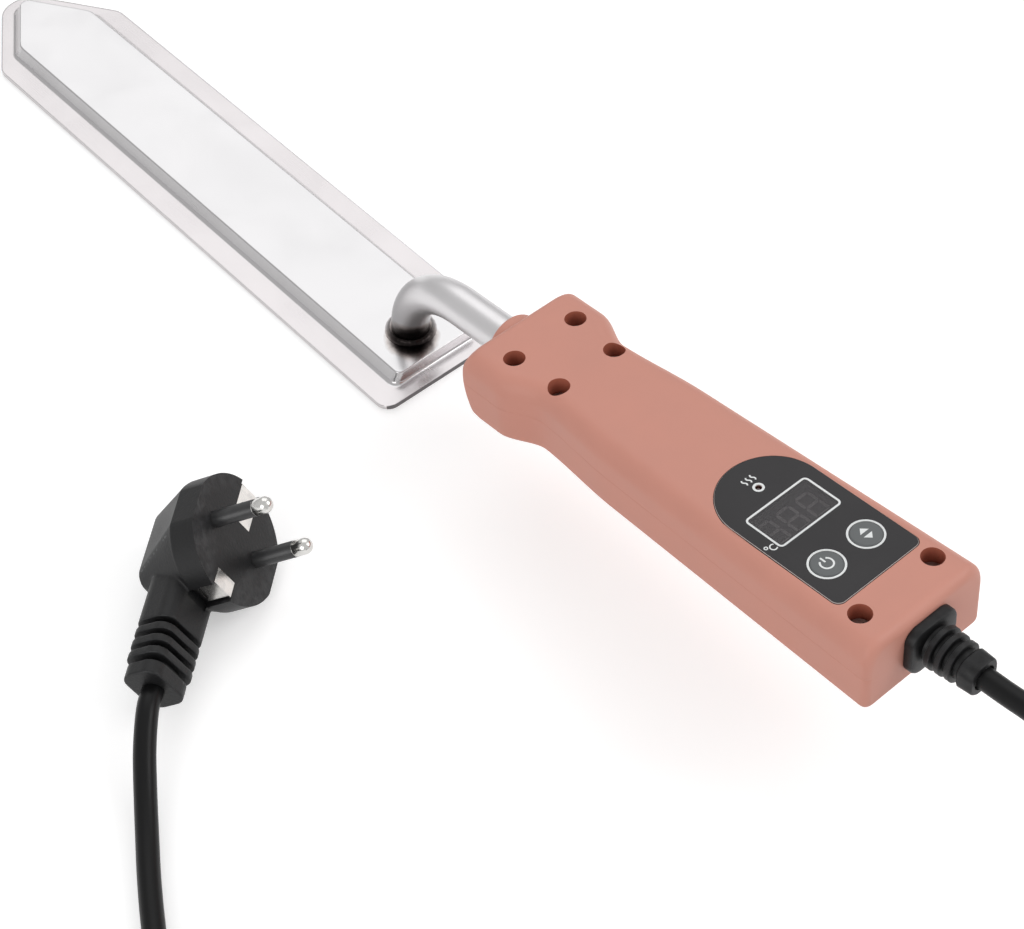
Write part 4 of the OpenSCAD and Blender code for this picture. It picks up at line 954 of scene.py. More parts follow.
class HOTKNIFE_OT_neck(bpy.types.Operator):
    """Bent neck tube and the weld at its foot"""

    bl_idname = "hot_knife.neck"
    bl_label = "Neck"

    def execute(self, context):
        s, c = sizes(), colours()
        stations = [(0, -s.sheet_t), (0, -TUBE_LEAD_IN)]
        stations += [(s.bend * t, 0) for t in steps(48)]
        stations += [(s.bend, s.stem_run + TUBE_LEAD_OUT), (s.bend, s.stem_run + s.stem_in)]
        outer = [tube_ring(s, turn, run, s.stem_r) for turn, run in stations]
        inner = [tube_ring(s, turn, run, s.stem_r - s.stem_wall) for turn, run in reversed(stations)]
        pipe = loft(outer + inner + outer[:1], capped=False)
        tube = solid_object("neck_tube", pipe, s.centred, TUBE_CRISP)
        # The tube and its weld take the weld tint, whose dark middle is a painted reflection.
        dress(tube, KNIFE, "steel_tube",
              steel_finish("polished_tube_steel", c.tube, 0.3, 0.1, 0.04, 0.03, 60.0, s.weld),
              "stem_tube")
        foot = s.centred @ Matrix.Translation((s.stem_x, 0, s.panel_h))
        weld = solid_object("foot_weld", weld_bead(s), foot, WELD_CRISP)
        dress(weld, KNIFE, "steel_tube",
              steel_finish("weld_steel", srgb(168, 164, 164), 0.24, 0.2, 0.1, 0.05, 300.0, s.weld),
              "weld_collar")
        return {"FINISHED"}


# Handle, in millimetres, from its front edge back along X

TOP_R, BOTTOM_R, REAR_R, REAR_SIDE_R, REAR_LOW_R = 6, 1.4, 3.2, 2.2, 1
GUARD_CORNER_R, FRONT_TOP_R, FRONT_BOTTOM_R = 2.6, 1.4, 4.5
SEAM, SEAM_DEPTH, SHELL_BELOW, CREASE = 0.09, 0.02, 2.0, 0.6
CAVITY_SEAM, CAVITY_BELOW, CAVITY_FRONT, CAVITY_REAR = 0.1, 3.0, 3, 2.6
BOSS_R, BOSS_REACH, BOSS_EDGE, BOSS_ROOT = 9, 5.2, 1.4, 2.0
BORE_GAP, BORE_FRONT = 0.06, 20
GLAND_HOLE_R, GLAND_HOLE_BACK, GLAND_HOLE_IN = 4.46, 1, 4
WELLS = [(-11, 11.4), (-28.3, 10.3), (-141, 13.1)]
WELL_R, WELL_FLOOR, POST_R, POST_SKIN = 3.15, 4, 4.4, 1.4
POST_SHOULDER, POST_TOP, POST_TOP_WALL = 1.5, 0.6, 0.3
PLATE_HALF, PLATE_REAR, PLATE_LEN, PLATE_CORNER = 15.2, -135.9, 51.9, 2.5
PLATE_LOW, PLATE_TOP, PLATE_GAP = 10.8, 11.2, 0.2
WINDOW_X, WINDOW_L, WINDOW_W, WINDOW_R, WINDOW_LEDGE, LEDGE_R = -106.2, 12, 21, 0.8, 0.7, 0.3
LAMP_X, LAMP_HOLE_R, LAMP_SEAT_R = -93.9, 0.86, 1.65
BUTTON_R, BUTTON_TOP, BUTTON_GAP = 4.3, 11.55, 0.08
BUTTON_SPOTS = [(-124.4, 7.1), (-124.4, -7.1)]
CUT_LOW, CUT_TOP, RECESS_TOP = 7, 12, 13
BELOW_BLOCK = (-75, 0, 300, 120, 5)
BELOW_DEPTH = 30
HANDLE_CRISP = 30
TOUCH, UPRIGHT, FACING_UP, WINDOW_DEPTH = 0.01, 0.3, 0.9, 2
OUTSIDE, MASK, IN_WELL = range(3)


def inset(d, r):
    """How far a round of radius r draws in at distance d from the end."""
    return 0.0 if d >= r else r - math.sqrt(max(0.0, r * r - (r - d) ** 2))


def half_width(s, x):
    """Half of the handle's width at a place along it."""
    if -x < s.guard_len:
        return s.guard_w / 2
    if -x < s.neck_x:
        return mix(s.guard_w, s.neck_w, smooth((-x - s.guard_len) / (s.neck_x - s.guard_len))) / 2
    taper = mix(s.grip_front_w, s.grip_rear_w, (-x - s.neck_x) / (s.handle_len - s.neck_x))
    return (taper - (s.grip_front_w - s.neck_w) * (1 - smooth((-x - s.neck_x) / s.neck_blend))) / 2


def half_section(w, h, r, below, count, seam):
    """Section of one half from one side of the parting plane over to the other."""
    left = [(-w + seam, -below), (-w + seam, -SEAM_DEPTH), (-w, seam)]
    left += [(-w, mix(seam, h - r, t)) for t in steps(5)[1:-1]]
    left += [(-(w - r) + y, h - r + z) for y, z in arc(0, 0, r, 180, 90, count)]
    left.append((-(w - r) + CREASE, h))
    return left + [(-y, z) for y, z in reversed(left)]


def strip_loft(rings):
    """Loft of mirrored sections, its ends closed by strips between the sides."""
    verts, faces = loft(rings, capped=False)
    count = len(rings[0])
    for base in (0, (len(rings) - 1) * count):
        for j in range(count // 2 - 1):
            faces.append((base + j, base + j + 1, base + count - 2 - j, base + count - 1 - j))
    return verts, faces


def shell_solid(s, edge_r, front_r, rear_r):
    """Outside of one half of the handle, run on below the parting plane."""
    xs = [-GUARD_CORNER_R * (1 - math.cos(math.pi / 2 * t)) for t in steps(18)]
    xs += [mix(-GUARD_CORNER_R, -s.guard_len, t) for t in steps(6)[1:-1]]
    xs += [-mix(s.guard_len, s.neck_x, t) for t in steps(26)]
    xs += [-s.neck_x - s.neck_blend * t for t in steps(22)[1:]]
    xs += [mix(-s.neck_x - s.neck_blend, REAR_R - s.handle_len, t) for t in steps(10)[1:-1]]
    xs += [-s.handle_len + REAR_R * (1 - math.sin(math.pi / 2 * t)) for t in steps(12)]
    rings = []
    for x in xs:
        back = x + s.handle_len
        w = half_width(s, x) - inset(-x, GUARD_CORNER_R) - inset(back, REAR_SIDE_R)
        h = s.half_t - inset(-x, front_r) - inset(back, rear_r)
        swell = s.front_bulge * smooth(1 + x / s.guard_len)
        rings.append([(x + swell * (1 - (z / s.half_t) ** 2), y, z)
                      for y, z in half_section(w, h, edge_r, SHELL_BELOW, 14, SEAM)])
    return strip_loft(rings)


def cavity_solid(s, edge_r):
    """Hollow of one half of the handle."""
    rings = []
    for t in steps(24):
        x = -mix(CAVITY_FRONT, s.handle_len - CAVITY_REAR, t)
        section = half_section(half_width(s, x) - s.wall, s.roof, edge_r / 2, CAVITY_BELOW, 4, CAVITY_SEAM)
        rings.append([(x, y, z) for y, z in section])
    return strip_loft(rings)


def boss_solid():
    """Rounded boss round the tube at the handle's front, whole, along X."""
    edge = arc(BOSS_R - BOSS_EDGE, BOSS_REACH - BOSS_EDGE, BOSS_EDGE, 0, 90, 8)
    return along_x(turned([(AXIS_R, -BOSS_ROOT), (BOSS_R, -BOSS_ROOT), *edge, (AXIS_R, BOSS_REACH)], 72))


def well_cutter():
    """Straight screw well."""
    return turned([(AXIS_R, WELL_FLOOR), (WELL_R, WELL_FLOOR), (WELL_R, CUT_TOP), (AXIS_R, CUT_TOP)], 48)


def well_post(s):
    """Post round a screw well, drawn in where it meets the roof."""
    foot, top = WELL_FLOOR - POST_SKIN, s.roof + POST_TOP
    return turned([(AXIS_R, foot), (POST_R, foot), (POST_R, s.roof - POST_SHOULDER),
                   (WELL_R + POST_TOP_WALL, top), (AXIS_R, top)], 40)


def plate_outline(gap):
    """D-shaped outline of the label plate."""
    half, rear, r = PLATE_HALF + gap, PLATE_REAR - gap, PLATE_CORNER
    middle = PLATE_REAR + PLATE_LEN - PLATE_HALF
    return (arc(middle, 0, half, -90, 90, 40) + arc(rear + r, half - r, r, 90, 180, 8)
            + arc(rear + r, r - half, r, 180, 270, 8))


def window_outline(grow, r, count=8):
    """Outline of the display window, grown or shrunk."""
    return round_rect(WINDOW_X, 0, WINDOW_L + grow, WINDOW_W + grow, r, count)


def roof_holes():
    """Cutters for the window, the lamp and the buttons in the upper half's roof."""
    outlines = [window_outline(-2 * WINDOW_LEDGE, LEDGE_R, 3), circle(LAMP_X, 0, LAMP_SEAT_R, 24)]
    outlines += [circle(*spot, BUTTON_R + BUTTON_GAP, 48) for spot in BUTTON_SPOTS]
    return merged(*[prism(outline, CUT_LOW, CUT_TOP) for outline in outlines])


def handle_part(at, rise, roof):
    """Which finish a face of the upper half takes, with painted shade inside the screw wells."""
    in_well = any(math.hypot(at.x - x, abs(at.y) - y) < WELL_R + TOUCH for x, y in WELLS)
    if in_well and (abs(rise) < UPRIGHT or abs(at.z - WELL_FLOOR) < TOUCH):
        return IN_WELL
    if rise > FACING_UP and abs(at.z - PLATE_LOW) < TOUCH and abs(at.x - WINDOW_X) < PLATE_LEN / 2:
        return MASK
    in_window = abs(at.x - WINDOW_X) < WINDOW_L / 2 and abs(at.y) < WINDOW_W / 2
    return MASK if in_window and roof - WINDOW_DEPTH < at.z < PLATE_LOW else OUTSIDE


class HOTKNIFE_OT_handle(bpy.types.Operator):
    """Two moulded halves of the handle with wells, boss and recesses"""

    bl_idname = "hot_knife.handle"
    bl_label = "Handle"

    def execute(self, context):
        s, c = sizes(), colours()
        finishes = [
            moulded_finish("salmon_plastic", c.handle, 0.48, 0.03, contrast=0.05, fine_scale=2200.0,
                           specular=0.35),
            moulded_finish("display_mask", srgb(30, 30, 31), 0.6, 0.01),
            # Darker pink inside the screw wells: painted shade.
            moulded_finish("well_plastic", srgb(170, 98, 78), 0.6, 0.03, contrast=0.1, specular=0.2)]
        roof_work = [(both_sides(well_post(s), WELLS), "UNION"),
                     (both_sides(well_cutter(), WELLS), "DIFFERENCE"),
                     (prism(plate_outline(PLATE_GAP), PLATE_LOW, RECESS_TOP), "DIFFERENCE"),
                     (roof_holes(), "DIFFERENCE")]
        bore = along_x(prism(circle(0, 0, s.stem_r + BORE_GAP, 60), -s.stem_in, BORE_FRONT))
        rear = along_x(prism(circle(0, 0, GLAND_HOLE_R, 48), -s.handle_len - GLAND_HOLE_BACK,
                             -s.handle_len + GLAND_HOLE_IN))
        below = prism(round_rect(*BELOW_BLOCK), -BELOW_DEPTH, 0.0)
        under = s.in_handle @ Matrix.Scale(-1, 4, (0, 0, 1))
        for name, shell, place, rounds, inner_work in (
                ("handle_upper_half", "handle_top_shell", s.in_handle,
                 (TOP_R, FRONT_TOP_R, REAR_R), roof_work),
                ("handle_lower_half", "handle_bottom_shell", under,
                 (BOTTOM_R, FRONT_BOTTOM_R, REAR_LOW_R), [])):
            half = solid_object(name, shell_solid(s, *rounds))
            carve(half, boss_solid(), "UNION")
            carve(half, cavity_solid(s, rounds[0]))
            for solid, operation in inner_work:
                carve(half, solid, operation)
            for hollow in (bore, rear, below):
                carve(half, hollow)
            shade(half, HANDLE_CRISP)
            dress(half, KNIFE, "handle_plastic", finishes, shell)
            for face in half.data.polygons if inner_work else []:
                face.material_index = handle_part(face.center / MM, face.normal.z, s.roof)
            put(half, place)
        paint(["case_screws", "board_screws", "cord_clamp_screws"],
              plated_finish("screw_plate", srgb(150, 148, 146), 0.3))
        return {"FINISHED"}


# Controls, in millimetres, in the handle's frame

PLATE_BEVEL, RIM_FROM, PRINT_T = 0.19, 0.25, 0.03
PLATE_HOLE_GAP, FRAME_INSIDE, FRAME_OUTSIDE = 0.12, 0.14, 1.3
FRAME_INSIDE_R, FRAME_OUTSIDE_R = 0.85, 1.45
LAMP_RING, BUTTON_RING = (0.98, 1.6), (4.42, 5.0)
HEAT_MARK_AT, DEGREE_MARK_AT = (-90.3, 0), (-111.0, 12.9)
POWER_R, POWER_STROKE, POWER_BAR = 1.75, 0.5, (0.5, 2.3)
ARROW_HALF, ARROW_FOOT, ARROW_TIP = 1.5, 0.55, 2.2
DEGREE_RING, DEGREE_OPEN_RING, DEGREE_STROKE = (-1.0, 0.9, 0.28, 0.6), (0.7, -0.1, 0.95), 0.36
WAVE_STEP, WAVE_SWAY, WAVE_HALF, WAVE_STROKE = 1.5, 0.3, 1.1, 0.42
DISPLAY_TOP, DIGIT_LIFT, DIGIT_T = 8.6, 0.01, 0.04
DIGIT_PITCH, DIGIT_L, DIGIT_W, DIGIT_STROKE, DIGIT_GAP = 7, 8, 4.4, 0.9, 0.12


def icon(points, x, y):
    """Places a mark drawn right and up, as read from behind the handle."""
    return [(x + v, y - u) for u, v in points]


def ring_outlines(x, y, inner, outer):
    """Two circles that bound a printed ring."""
    return [circle(x, y, outer, 60), circle(x, y, inner, 60)]


def power_mark(x, y):
    """Broken ring with an upright bar."""
    bar = [(0, end) for end in POWER_BAR]
    return [icon(stroke(line, POWER_STROKE), x, y) for line in (arc(0, 0, POWER_R, 125, 415, 30), bar)]


def set_mark(x, y):
    """Two arrow heads, up and down."""
    up = [(-ARROW_HALF, ARROW_FOOT), (ARROW_HALF, ARROW_FOOT), (0, ARROW_TIP)]
    return [icon(up, x, y), icon([(u, -v) for u, v in reversed(up)], x, y)]


def heat_mark(x, y):
    """Three rising waves."""
    waves = []
    for k in (-1, 0, 1):
        line = [(k * WAVE_STEP + WAVE_SWAY * math.sin(2 * math.pi * t), mix(-WAVE_HALF, WAVE_HALF, t))
                for t in steps(16)]
        waves.append(icon(stroke(line, WAVE_STROKE), x, y))
    return waves


def degree_mark(x, y):
    """Small raised ring and an open ring beside it."""
    return [*[icon(loop, x, y) for loop in ring_outlines(*DEGREE_RING)],
            icon(stroke(arc(*DEGREE_OPEN_RING, 45, 315, 18), DEGREE_STROKE), x, y)]


def digit_bars():
    """Outlines of the seven bars of one digit, with pointed ends."""
    bars = [(x * DIGIT_L / 2, 0, 0, DIGIT_W - DIGIT_STROKE) for x in (-1, 0, 1)]
    bars += [(x * DIGIT_L / 4, y * DIGIT_W / 2, DIGIT_L / 2 - DIGIT_STROKE, 0)
             for x in (-1, 1) for y in (-1, 1)]
    outlines = []
    for x, y, w, h in bars:
        run = Vector((w, h)) / 2
        side = Vector((h and 1, w and 1)) * DIGIT_STROKE / 2
        run += (DIGIT_STROKE / 2 - DIGIT_GAP) * run.normalized()
        slim = run - DIGIT_STROKE / 2 * run.normalized()
        outlines.append([(x + p.x, y + p.y) for p in
                         (run, slim + side, side - slim, -run, -slim - side, slim - side)])
    return outlines


class HOTKNIFE_OT_controls(bpy.types.Operator):
    """Label plate with its printed marks, display, lamp and push buttons"""

    bl_idname = "hot_knife.controls"
    bl_label = "Controls"

    def execute(self, context):
        s, c = sizes(), colours()
        place = s.in_handle
        ink = moulded_finish("printed_ink", c.ink, 0.5, 0.004, contrast=0.12, fine_scale=5000.0)
        dark = moulded_finish("label_plate_film", c.overlay, 0.42, 0.006, contrast=0.1,
                              fine_scale=4200.0, specular=0.06)
        rim = moulded_finish("label_plate_edge", srgb(188, 176, 172), 0.4, 0.006)
        holes = [window_outline(PLATE_HOLE_GAP, WINDOW_R), circle(LAMP_X, 0, LAMP_HOLE_R, 36)]
        holes += [circle(*spot, BUTTON_R + BUTTON_GAP, 72) for spot in BUTTON_SPOTS]
        plate = plate_object("label_plate", [plate_outline(0), *holes], PLATE_LOW, PLATE_TOP, place,
                             PLATE_BEVEL)
        dress(plate, KNIFE, "label_plate", [dark, rim], "control_overlay")
        up = place.to_3x3() @ Vector((0, 0, 1))
        for face in plate.data.polygons:
            face.material_index = 1 if RIM_FROM < face.normal.dot(up) < LEVEL else 0
        marks = [window_outline(FRAME_OUTSIDE, FRAME_OUTSIDE_R),
                 window_outline(FRAME_INSIDE, FRAME_INSIDE_R)]
        marks += ring_outlines(LAMP_X, 0, *LAMP_RING)
        for spot in BUTTON_SPOTS:
            marks += ring_outlines(*spot, *BUTTON_RING)
        marks += heat_mark(*HEAT_MARK_AT) + degree_mark(*DEGREE_MARK_AT)
        printed = plate_object("label_print", marks, PLATE_TOP, PLATE_TOP + PRINT_T, place)
        dress(printed, KNIFE, "label_plate", ink)
        bars = [[(WINDOW_X + x, k * DIGIT_PITCH + y) for x, y in bar]
                for k in (-1, 0, 1) for bar in digit_bars()]
        digits = plate_object("display_digits", bars, DISPLAY_TOP + DIGIT_LIFT,
                              DISPLAY_TOP + DIGIT_LIFT + DIGIT_T, place)
        dress(digits, KNIFE, "display_black",
              moulded_finish("digit_bars", srgb(245, 238, 238), 0.5, 0.004))
        paint(["display_window"], film_finish("display_filter", srgb(68, 65, 67), 0.2, 0.56))
        paint(["display_module"], moulded_finish("display_case", srgb(60, 58, 59), 0.5, 0.01))
        paint(["heat_lamp"], moulded_finish("lamp_lens", srgb(70, 42, 42), 0.25, 0.004, coat=0.5))
        paint(["power_button", "set_button"],
              moulded_finish("button_cap", c.button, 0.38, 0.01, contrast=0.12, specular=0.4))
        buttons = (("power_button", power_mark), ("set_button", set_mark))
        for (name, mark), spot in zip(buttons, BUTTON_SPOTS):
            sign = plate_object(name + "_mark", mark(*spot), BUTTON_TOP, BUTTON_TOP + PRINT_T, place)
            dress(sign, name, "button_grey", ink)
        return {"FINISHED"}


# Strain relief, in millimetres behind the handle's rear face

GLAND_END_R = 5.5
GLAND_FLANGE = [(-5.0, 4.3, 4.3, 4.29), (0.02, 4.3, 4.3, 4.29), (0.02, 8.05, 7.3, 3.8),
                (0.25, 8.25, 7.5, 4.0), (2.2, 8.25, 7.5, 4.0), (2.7, 8.0, 7.25, 3.9),
                (3.0, 7.3, 6.6, 3.6), (3.05, 5.0, 5.0, 4.95)]
GLAND_END = [(4.8, 4.3, 4.3, 4.25), (4.8, 4.7, 4.7, 3.4), (4.4, 5.0, 5.0, 3.6), (0.4, 4.8, 4.8, 3.5),
             (0.0, 4.5, 4.5, 3.3), (0.0, 3.5, 3.5, 3.25), (0.9, 3.2, 3.2, 3.15)]
RIB_COUNT, RIB_FROM, RIB_STEP, RIB_T, RIB_EDGE, RIB_LEAD = 3, 3.0, 3.0, 1.65, 0.3, 0.18
RIB_R_FRONT, RIB_R_REAR, CORE_R_FRONT, CORE_R_REAR = 6.5, 5.6, 4.8, 4.2
ROUND_MARGIN = 0.05
GLAND_CRISP = 38


def gland_stations(s):
    """Stations of the strain relief: place, half width, half height, corner."""
    found = list(GLAND_FLANGE)
    for k in range(1, RIB_COUNT + 1):
        r = mix(RIB_R_FRONT, RIB_R_REAR, k / (RIB_COUNT + 1))
        core = mix(CORE_R_FRONT, CORE_R_REAR, (RIB_FROM + k * RIB_STEP) / s.gland_len)
        a = RIB_FROM + (k - 0.5) * RIB_STEP
        b = a + RIB_T
        for at, half in ((a, core), (a, r - RIB_EDGE), (a + RIB_LEAD, r), (b - RIB_LEAD, r),
                         (b, r - RIB_EDGE), (b, core)):
            found.append((at, half, half, half - ROUND_MARGIN))
    return found + [(s.gland_len - before, *section) for before, *section in GLAND_END]


class HOTKNIFE_OT_strain_relief(bpy.types.Operator):
    """Ribbed strain relief at the handle's rear"""

    bl_idname = "hot_knife.strain_relief"
    bl_label = "Strain relief"

    def execute(self, context):
        s, c = sizes(), colours()
        rings = [[(-s.handle_len - at, y, z) for y, z in round_rect(0, 0, 2 * w, 2 * h, r, 12)]
                 for at, w, h, r in gland_stations(s)]
        relief = solid_object("strain_relief_boot", loft(rings), s.in_handle, GLAND_CRISP)
        dress(relief, KNIFE, "cord_sheath",
              moulded_finish("boot_rubber", c.cord, 0.44, 0.06, contrast=0.15, fine_scale=1700.0,
                             worn=srgb(70, 70, 72), wear=0.3, specular=0.3),
              "strain_relief")
        return {"FINISHED"}


# Plug, in millimetres, with its face at Z 0 and its trunk along X

PLUG_AT, PLUG_TURN, PLUG_FLANK = (-43, 95), math.radians(131), math.radians(30)
PLUG_FLOOR_GAP = 0.02
PLUG_DISC_T, PLUG_DEPTH, PLUG_REACH, TRUNK_Z = 8, 26, 47, -15
PLUG_BACK_L, PLUG_BACK_R, WEDGE_LAP, FACE_TRIM = 26, 4, 0.3, 1
TRUNK_W, TRUNK_H, TRUNK_R, TRUNK_FROM, TRUNK_TO = 17, 13, 4, 4, 29
PLUG_CORE = (9.6, 8.4, 3)
PLUG_CORE_SHORT = 0.5
PLUG_RIBS, PLUG_RIB_FROM, PLUG_RIB_T, PLUG_RIB_STEP = 3, 30.7, 2.3, 4
PLUG_END_FROM, PLUG_END_SLIM = 42.7, 1
PLUG_VOXEL, PLUG_RELAX, PLUG_CRISP = 0.3, 4, 40
NOTCH_IN, NOTCH_L, NOTCH_W, NOTCH_R = 0.8, 3.6, 8, 0.3
PIN_ROOT, PIN_GAP, PIN_SLEEVE, PIN_CRISP = 5, 0.06, 13.5, 40
SLEEVE_STEP, SLEEVE_EDGE, SLEEVE_GROOVE, SLEEVE_END = 0.12, 0.15, 0.1, 0.25
SOCKET_X, SOCKET_R, SOCKET_DEPTH = -10.4, 3.41, 12.5
CLIP_HALF, CLIP_DEPTH, CLIP_SPANS = 3.76, 0.5, [(-20, -5.5), (12.4, 20)]
CLIP_TOP, PIN_TOP, TRIM_TOP, TRIM_W, TRIM_R = 3, 2, 5, 60, 5


def trunk_slice(x0, x1, w=TRUNK_W, h=TRUNK_H, r=TRUNK_R):
    """Rounded slice of the plug's trunk along X."""
    outline = round_rect(0, TRUNK_Z, w, h, r, 6)
    return loft([[(x, y, z) for y, z in outline] for x in (x0, x1)])


def convex(points):
    """Hull of points as vertices and faces."""
    form = bmesh.new()
    for p in points:
        form.verts.new(p)
    made = bmesh.ops.convex_hull(form, input=form.verts)
    loose = [v for v in made["geom_interior"] if isinstance(v, bmesh.types.BMVert)]
    bmesh.ops.delete(form, geom=loose, context="VERTS")
    form.verts.index_update()
    solid = [tuple(v.co) for v in form.verts], [tuple(v.index for v in f.verts) for f in form.faces]
    form.free()
    return solid


def plug_solid(s):
    """Face with flat sides, wedge behind it, and ribbed trunk, still as separate solids."""
    flat = s.plug_flat_w / 2
    face = [(x, max(-flat, min(flat, y))) for x, y in circle(0, 0, s.plug_d / 2, 120)]
    back_half = flat - (PLUG_DEPTH - PLUG_DISC_T) * math.tan(PLUG_FLANK)
    back = round_rect(0, 0, PLUG_BACK_L, 2 * back_half, PLUG_BACK_R, 6)
    wedge = convex([(x, y, -PLUG_DISC_T + WEDGE_LAP) for x, y in face]
                   + [(x, y, -PLUG_DEPTH) for x, y in back])
    starts = [PLUG_RIB_FROM + PLUG_RIB_STEP * k for k in range(PLUG_RIBS)]
    ribs = [trunk_slice(start, start + PLUG_RIB_T) for start in starts]
    end = trunk_slice(PLUG_END_FROM, PLUG_REACH, TRUNK_W - PLUG_END_SLIM, TRUNK_H - PLUG_END_SLIM)
    return merged(prism(face, -PLUG_DISC_T, FACE_TRIM), wedge, trunk_slice(TRUNK_FROM, TRUNK_TO),
                  trunk_slice(TRUNK_FROM, PLUG_REACH - PLUG_CORE_SHORT, *PLUG_CORE), *ribs, end)


def plug_cuts(s):
    """Trim of the face, side notches, pin holes, socket and the clips' recesses."""
    cuts = [prism(round_rect(0, 0, TRIM_W, TRIM_W, TRIM_R), 0, TRIM_TOP)]
    for side in SIDES:
        notch = round_rect(side * (s.plug_d / 2 - NOTCH_IN), 0, NOTCH_L, NOTCH_W, NOTCH_R, 2)
        cuts.append(prism(notch, -PLUG_DISC_T - FACE_TRIM, FACE_TRIM))
    for side in SIDES:
        hole = circle(0, side * s.pin_gap / 2, s.pin_d / 2 + PIN_GAP, 48)
        cuts.append(prism(hole, -PIN_ROOT, PIN_TOP))
    cuts.append(prism(circle(SOCKET_X, 0, SOCKET_R, 48), -SOCKET_DEPTH, PIN_TOP))
    for x0, x1 in CLIP_SPANS:
        clip = [(x0, -CLIP_HALF), (x1, -CLIP_HALF), (x1, CLIP_HALF), (x0, CLIP_HALF)]
        cuts.append(prism(clip, -CLIP_DEPTH, CLIP_TOP))
    return cuts


def plug_moulding(s):
    """Moulded plug as one skin with softened edges, then cut."""
    body = solid_object("plug_moulding", plug_solid(s))
    net = body.modifiers.new("net", "REMESH")
    net.mode, net.voxel_size, net.use_smooth_shade = "VOXEL", PLUG_VOXEL * MM, True
    relax = body.modifiers.new("relax", "SMOOTH")
    relax.factor, relax.iterations = 0.5, PLUG_RELAX
    settle(body)
    for cut in plug_cuts(s):
        carve(body, cut)
    shade(body, PLUG_CRISP)
    put(body, s.in_plug)
    return body


def pin_solid(s):
    """Pin with a round end, and a groove where its sleeve ends."""
    r = s.pin_d / 2
    slim = r - SLEEVE_STEP
    profile = [(AXIS_R, -PIN_ROOT), (r, -PIN_ROOT), (r, PIN_SLEEVE - SLEEVE_EDGE), (slim, PIN_SLEEVE),
               (slim, PIN_SLEEVE + SLEEVE_GROOVE), (r, PIN_SLEEVE + SLEEVE_END)]
    return turned(profile + arc(0, s.pin_len - r, r, 0, 88, 12), 48)


class HOTKNIFE_OT_plug(bpy.types.Operator):
    """Angled earthed plug with its pins and earth clips"""

    bl_idname = "hot_knife.plug"
    bl_label = "Plug"

    def execute(self, context):
        s, c = sizes(), colours()
        dress(plug_moulding(s), KNIFE, "plug_plastic",
              # The plug's lighter edges are partly rubbed wear and partly painted highlights.
              moulded_finish("plug_rubber", c.plug, 0.46, 0.16, contrast=0.3, fine_scale=1300.0,
                             worn=srgb(96, 96, 98), wear=0.5, specular=0.3),
              "plug_body")
        pair = both_sides(pin_solid(s), [(0, s.pin_gap / 2)])
        pins = solid_object("plug_pin_pair", pair, s.in_plug, PIN_CRISP)
        bright = plated_finish("plug_nickel", c.plated, 0.14)
        sleeve = moulded_finish("pin_sleeve", srgb(42, 42, 43), 0.35, 0.02, worn=srgb(80, 80, 80),
                                wear=0.2)
        dress(pins, KNIFE, "plug_metal", [bright, sleeve], "plug_pins")
        back = s.in_plug.inverted()
        for face in pins.data.polygons:
            face.material_index = 1 if (back @ (face.center / MM)).z < PIN_SLEEVE else 0
        paint(["plug_earth_clips", "plug_earth_socket"], bright)
        return {"FINISHED"}


# Inner parts

INNER_WEAR = 0.25


def inner_plastic(name, tone, worn, roughness, grain):
    """Plastic of a part inside the handle, a little rubbed."""
    return moulded_finish(name, srgb(*tone), roughness, grain, worn=srgb(*worn), wear=INNER_WEAR)


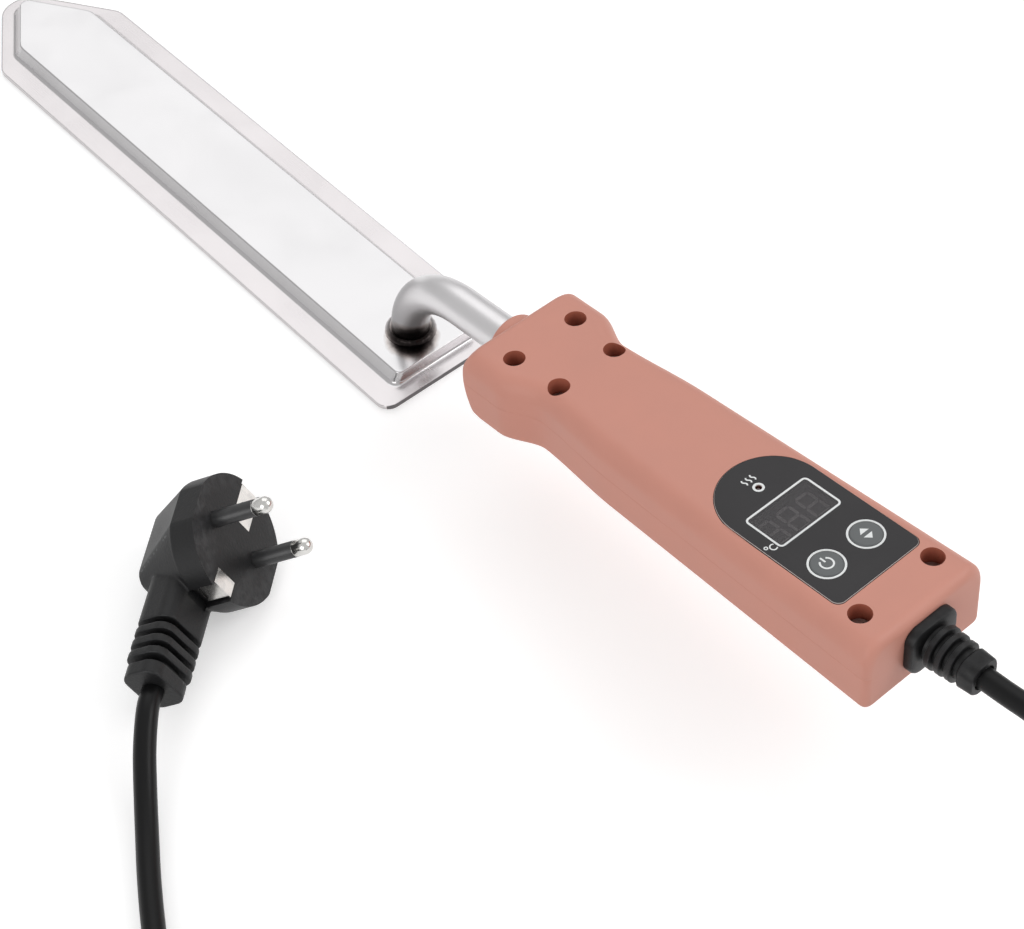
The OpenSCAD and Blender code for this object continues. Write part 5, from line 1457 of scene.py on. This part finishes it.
class HOTKNIFE_OT_inner_parts(bpy.types.Operator):
    """Finishes of the heater pack, the leads and the controller inside the handle"""

    bl_idname = "hot_knife.inner_parts"
    bl_label = "Inner parts"

    def execute(self, context):
        # The heating element, the temperature sensor and the fuse keep their CAD materials.
        paint(["mica_lower_sheet", "mica_upper_sheet"],
              banded_finish("mica_flake", srgb(196, 176, 120), srgb(170, 148, 92), 260.0, "DIAGONAL", 0.35))
        paint(["insulation_pad"], moulded_finish("ceramic_fibre", srgb(226, 222, 212), 0.9, 0.3,
                                                 contrast=0.2, fine_scale=900.0))
        paint(["stem_collar"], plated_finish("collar_steel", srgb(150, 150, 150), 0.3))
        paint(["heater_leads", "sensor_leads"],
              banded_finish("glass_braid", srgb(226, 222, 208), srgb(190, 184, 166), 1400.0, "DIAGONAL", 0.8))
        paint(["control_board"],
              banded_finish("board_traces", srgb(30, 96, 60), srgb(44, 118, 74), 420.0, "X", 0.35))
        paint(["power_switch", "set_switch", "control_chip", "triac", "cord_clamp"],
              inner_plastic("component_resin", (36, 36, 38), (90, 90, 90), 0.5, 0.02))
        paint(["film_capacitor"],
              inner_plastic("film_box", (206, 170, 60), (226, 200, 110), 0.4, 0.02))
        paint(["bulk_capacitor"],
              inner_plastic("capacitor_sleeve", (40, 62, 120), (90, 110, 160), 0.3, 0.01))
        paint(["mains_leads"], inner_plastic("core_brown", (112, 70, 46), (140, 100, 76), 0.45, 0.02))
        paint(["earth_lead"],
              banded_finish("core_green_yellow", srgb(90, 140, 50), srgb(220, 196, 60), 90.0, "Y", 0.45))
        paint(["cord_inner"], inner_plastic("inner_sheath", (30, 31, 32), (60, 60, 60), 0.45, 0.03))
        return {"FINISHED"}


class HOTKNIFE_PT_panel(bpy.types.Panel):
    """Lists the steps that dress the knife"""

    bl_idname = "HOTKNIFE_PT_panel"
    bl_label = "Hot Knife"
    bl_space_type = "VIEW_3D"
    bl_region_type = "UI"
    bl_category = "Hot Knife"

    def draw(self, context):
        for step in STEPS:
            self.layout.operator(step.bl_idname)


STEPS = [HOTKNIFE_OT_stage, HOTKNIFE_OT_cord, HOTKNIFE_OT_blade, HOTKNIFE_OT_neck,
         HOTKNIFE_OT_handle, HOTKNIFE_OT_controls, HOTKNIFE_OT_strain_relief, HOTKNIFE_OT_plug,
         HOTKNIFE_OT_inner_parts]
CLASSES = [HotKnifeSizes, HotKnifeColours, *STEPS, HOTKNIFE_PT_panel]


def register():
    """Registers the classes and hangs the properties on the scene."""
    for cls in CLASSES:
        bpy.utils.register_class(cls)
    bpy.types.Scene.hot_knife_sizes = PointerProperty(type=HotKnifeSizes)
    bpy.types.Scene.hot_knife_colours = PointerProperty(type=HotKnifeColours)


def unregister():
    """Takes the properties and classes away again."""
    del bpy.types.Scene.hot_knife_colours
    del bpy.types.Scene.hot_knife_sizes
    for cls in reversed(CLASSES):
        bpy.utils.unregister_class(cls)


def main():
    """Dresses the knife step by step."""
    register()
    bpy.ops.hot_knife.stage()
    bpy.ops.hot_knife.cord()
    bpy.ops.hot_knife.blade()
    bpy.ops.hot_knife.neck()
    bpy.ops.hot_knife.handle()
    bpy.ops.hot_knife.controls()
    bpy.ops.hot_knife.strain_relief()
    bpy.ops.hot_knife.plug()
    bpy.ops.hot_knife.inner_parts()


if __name__ == "__main__":
    main()
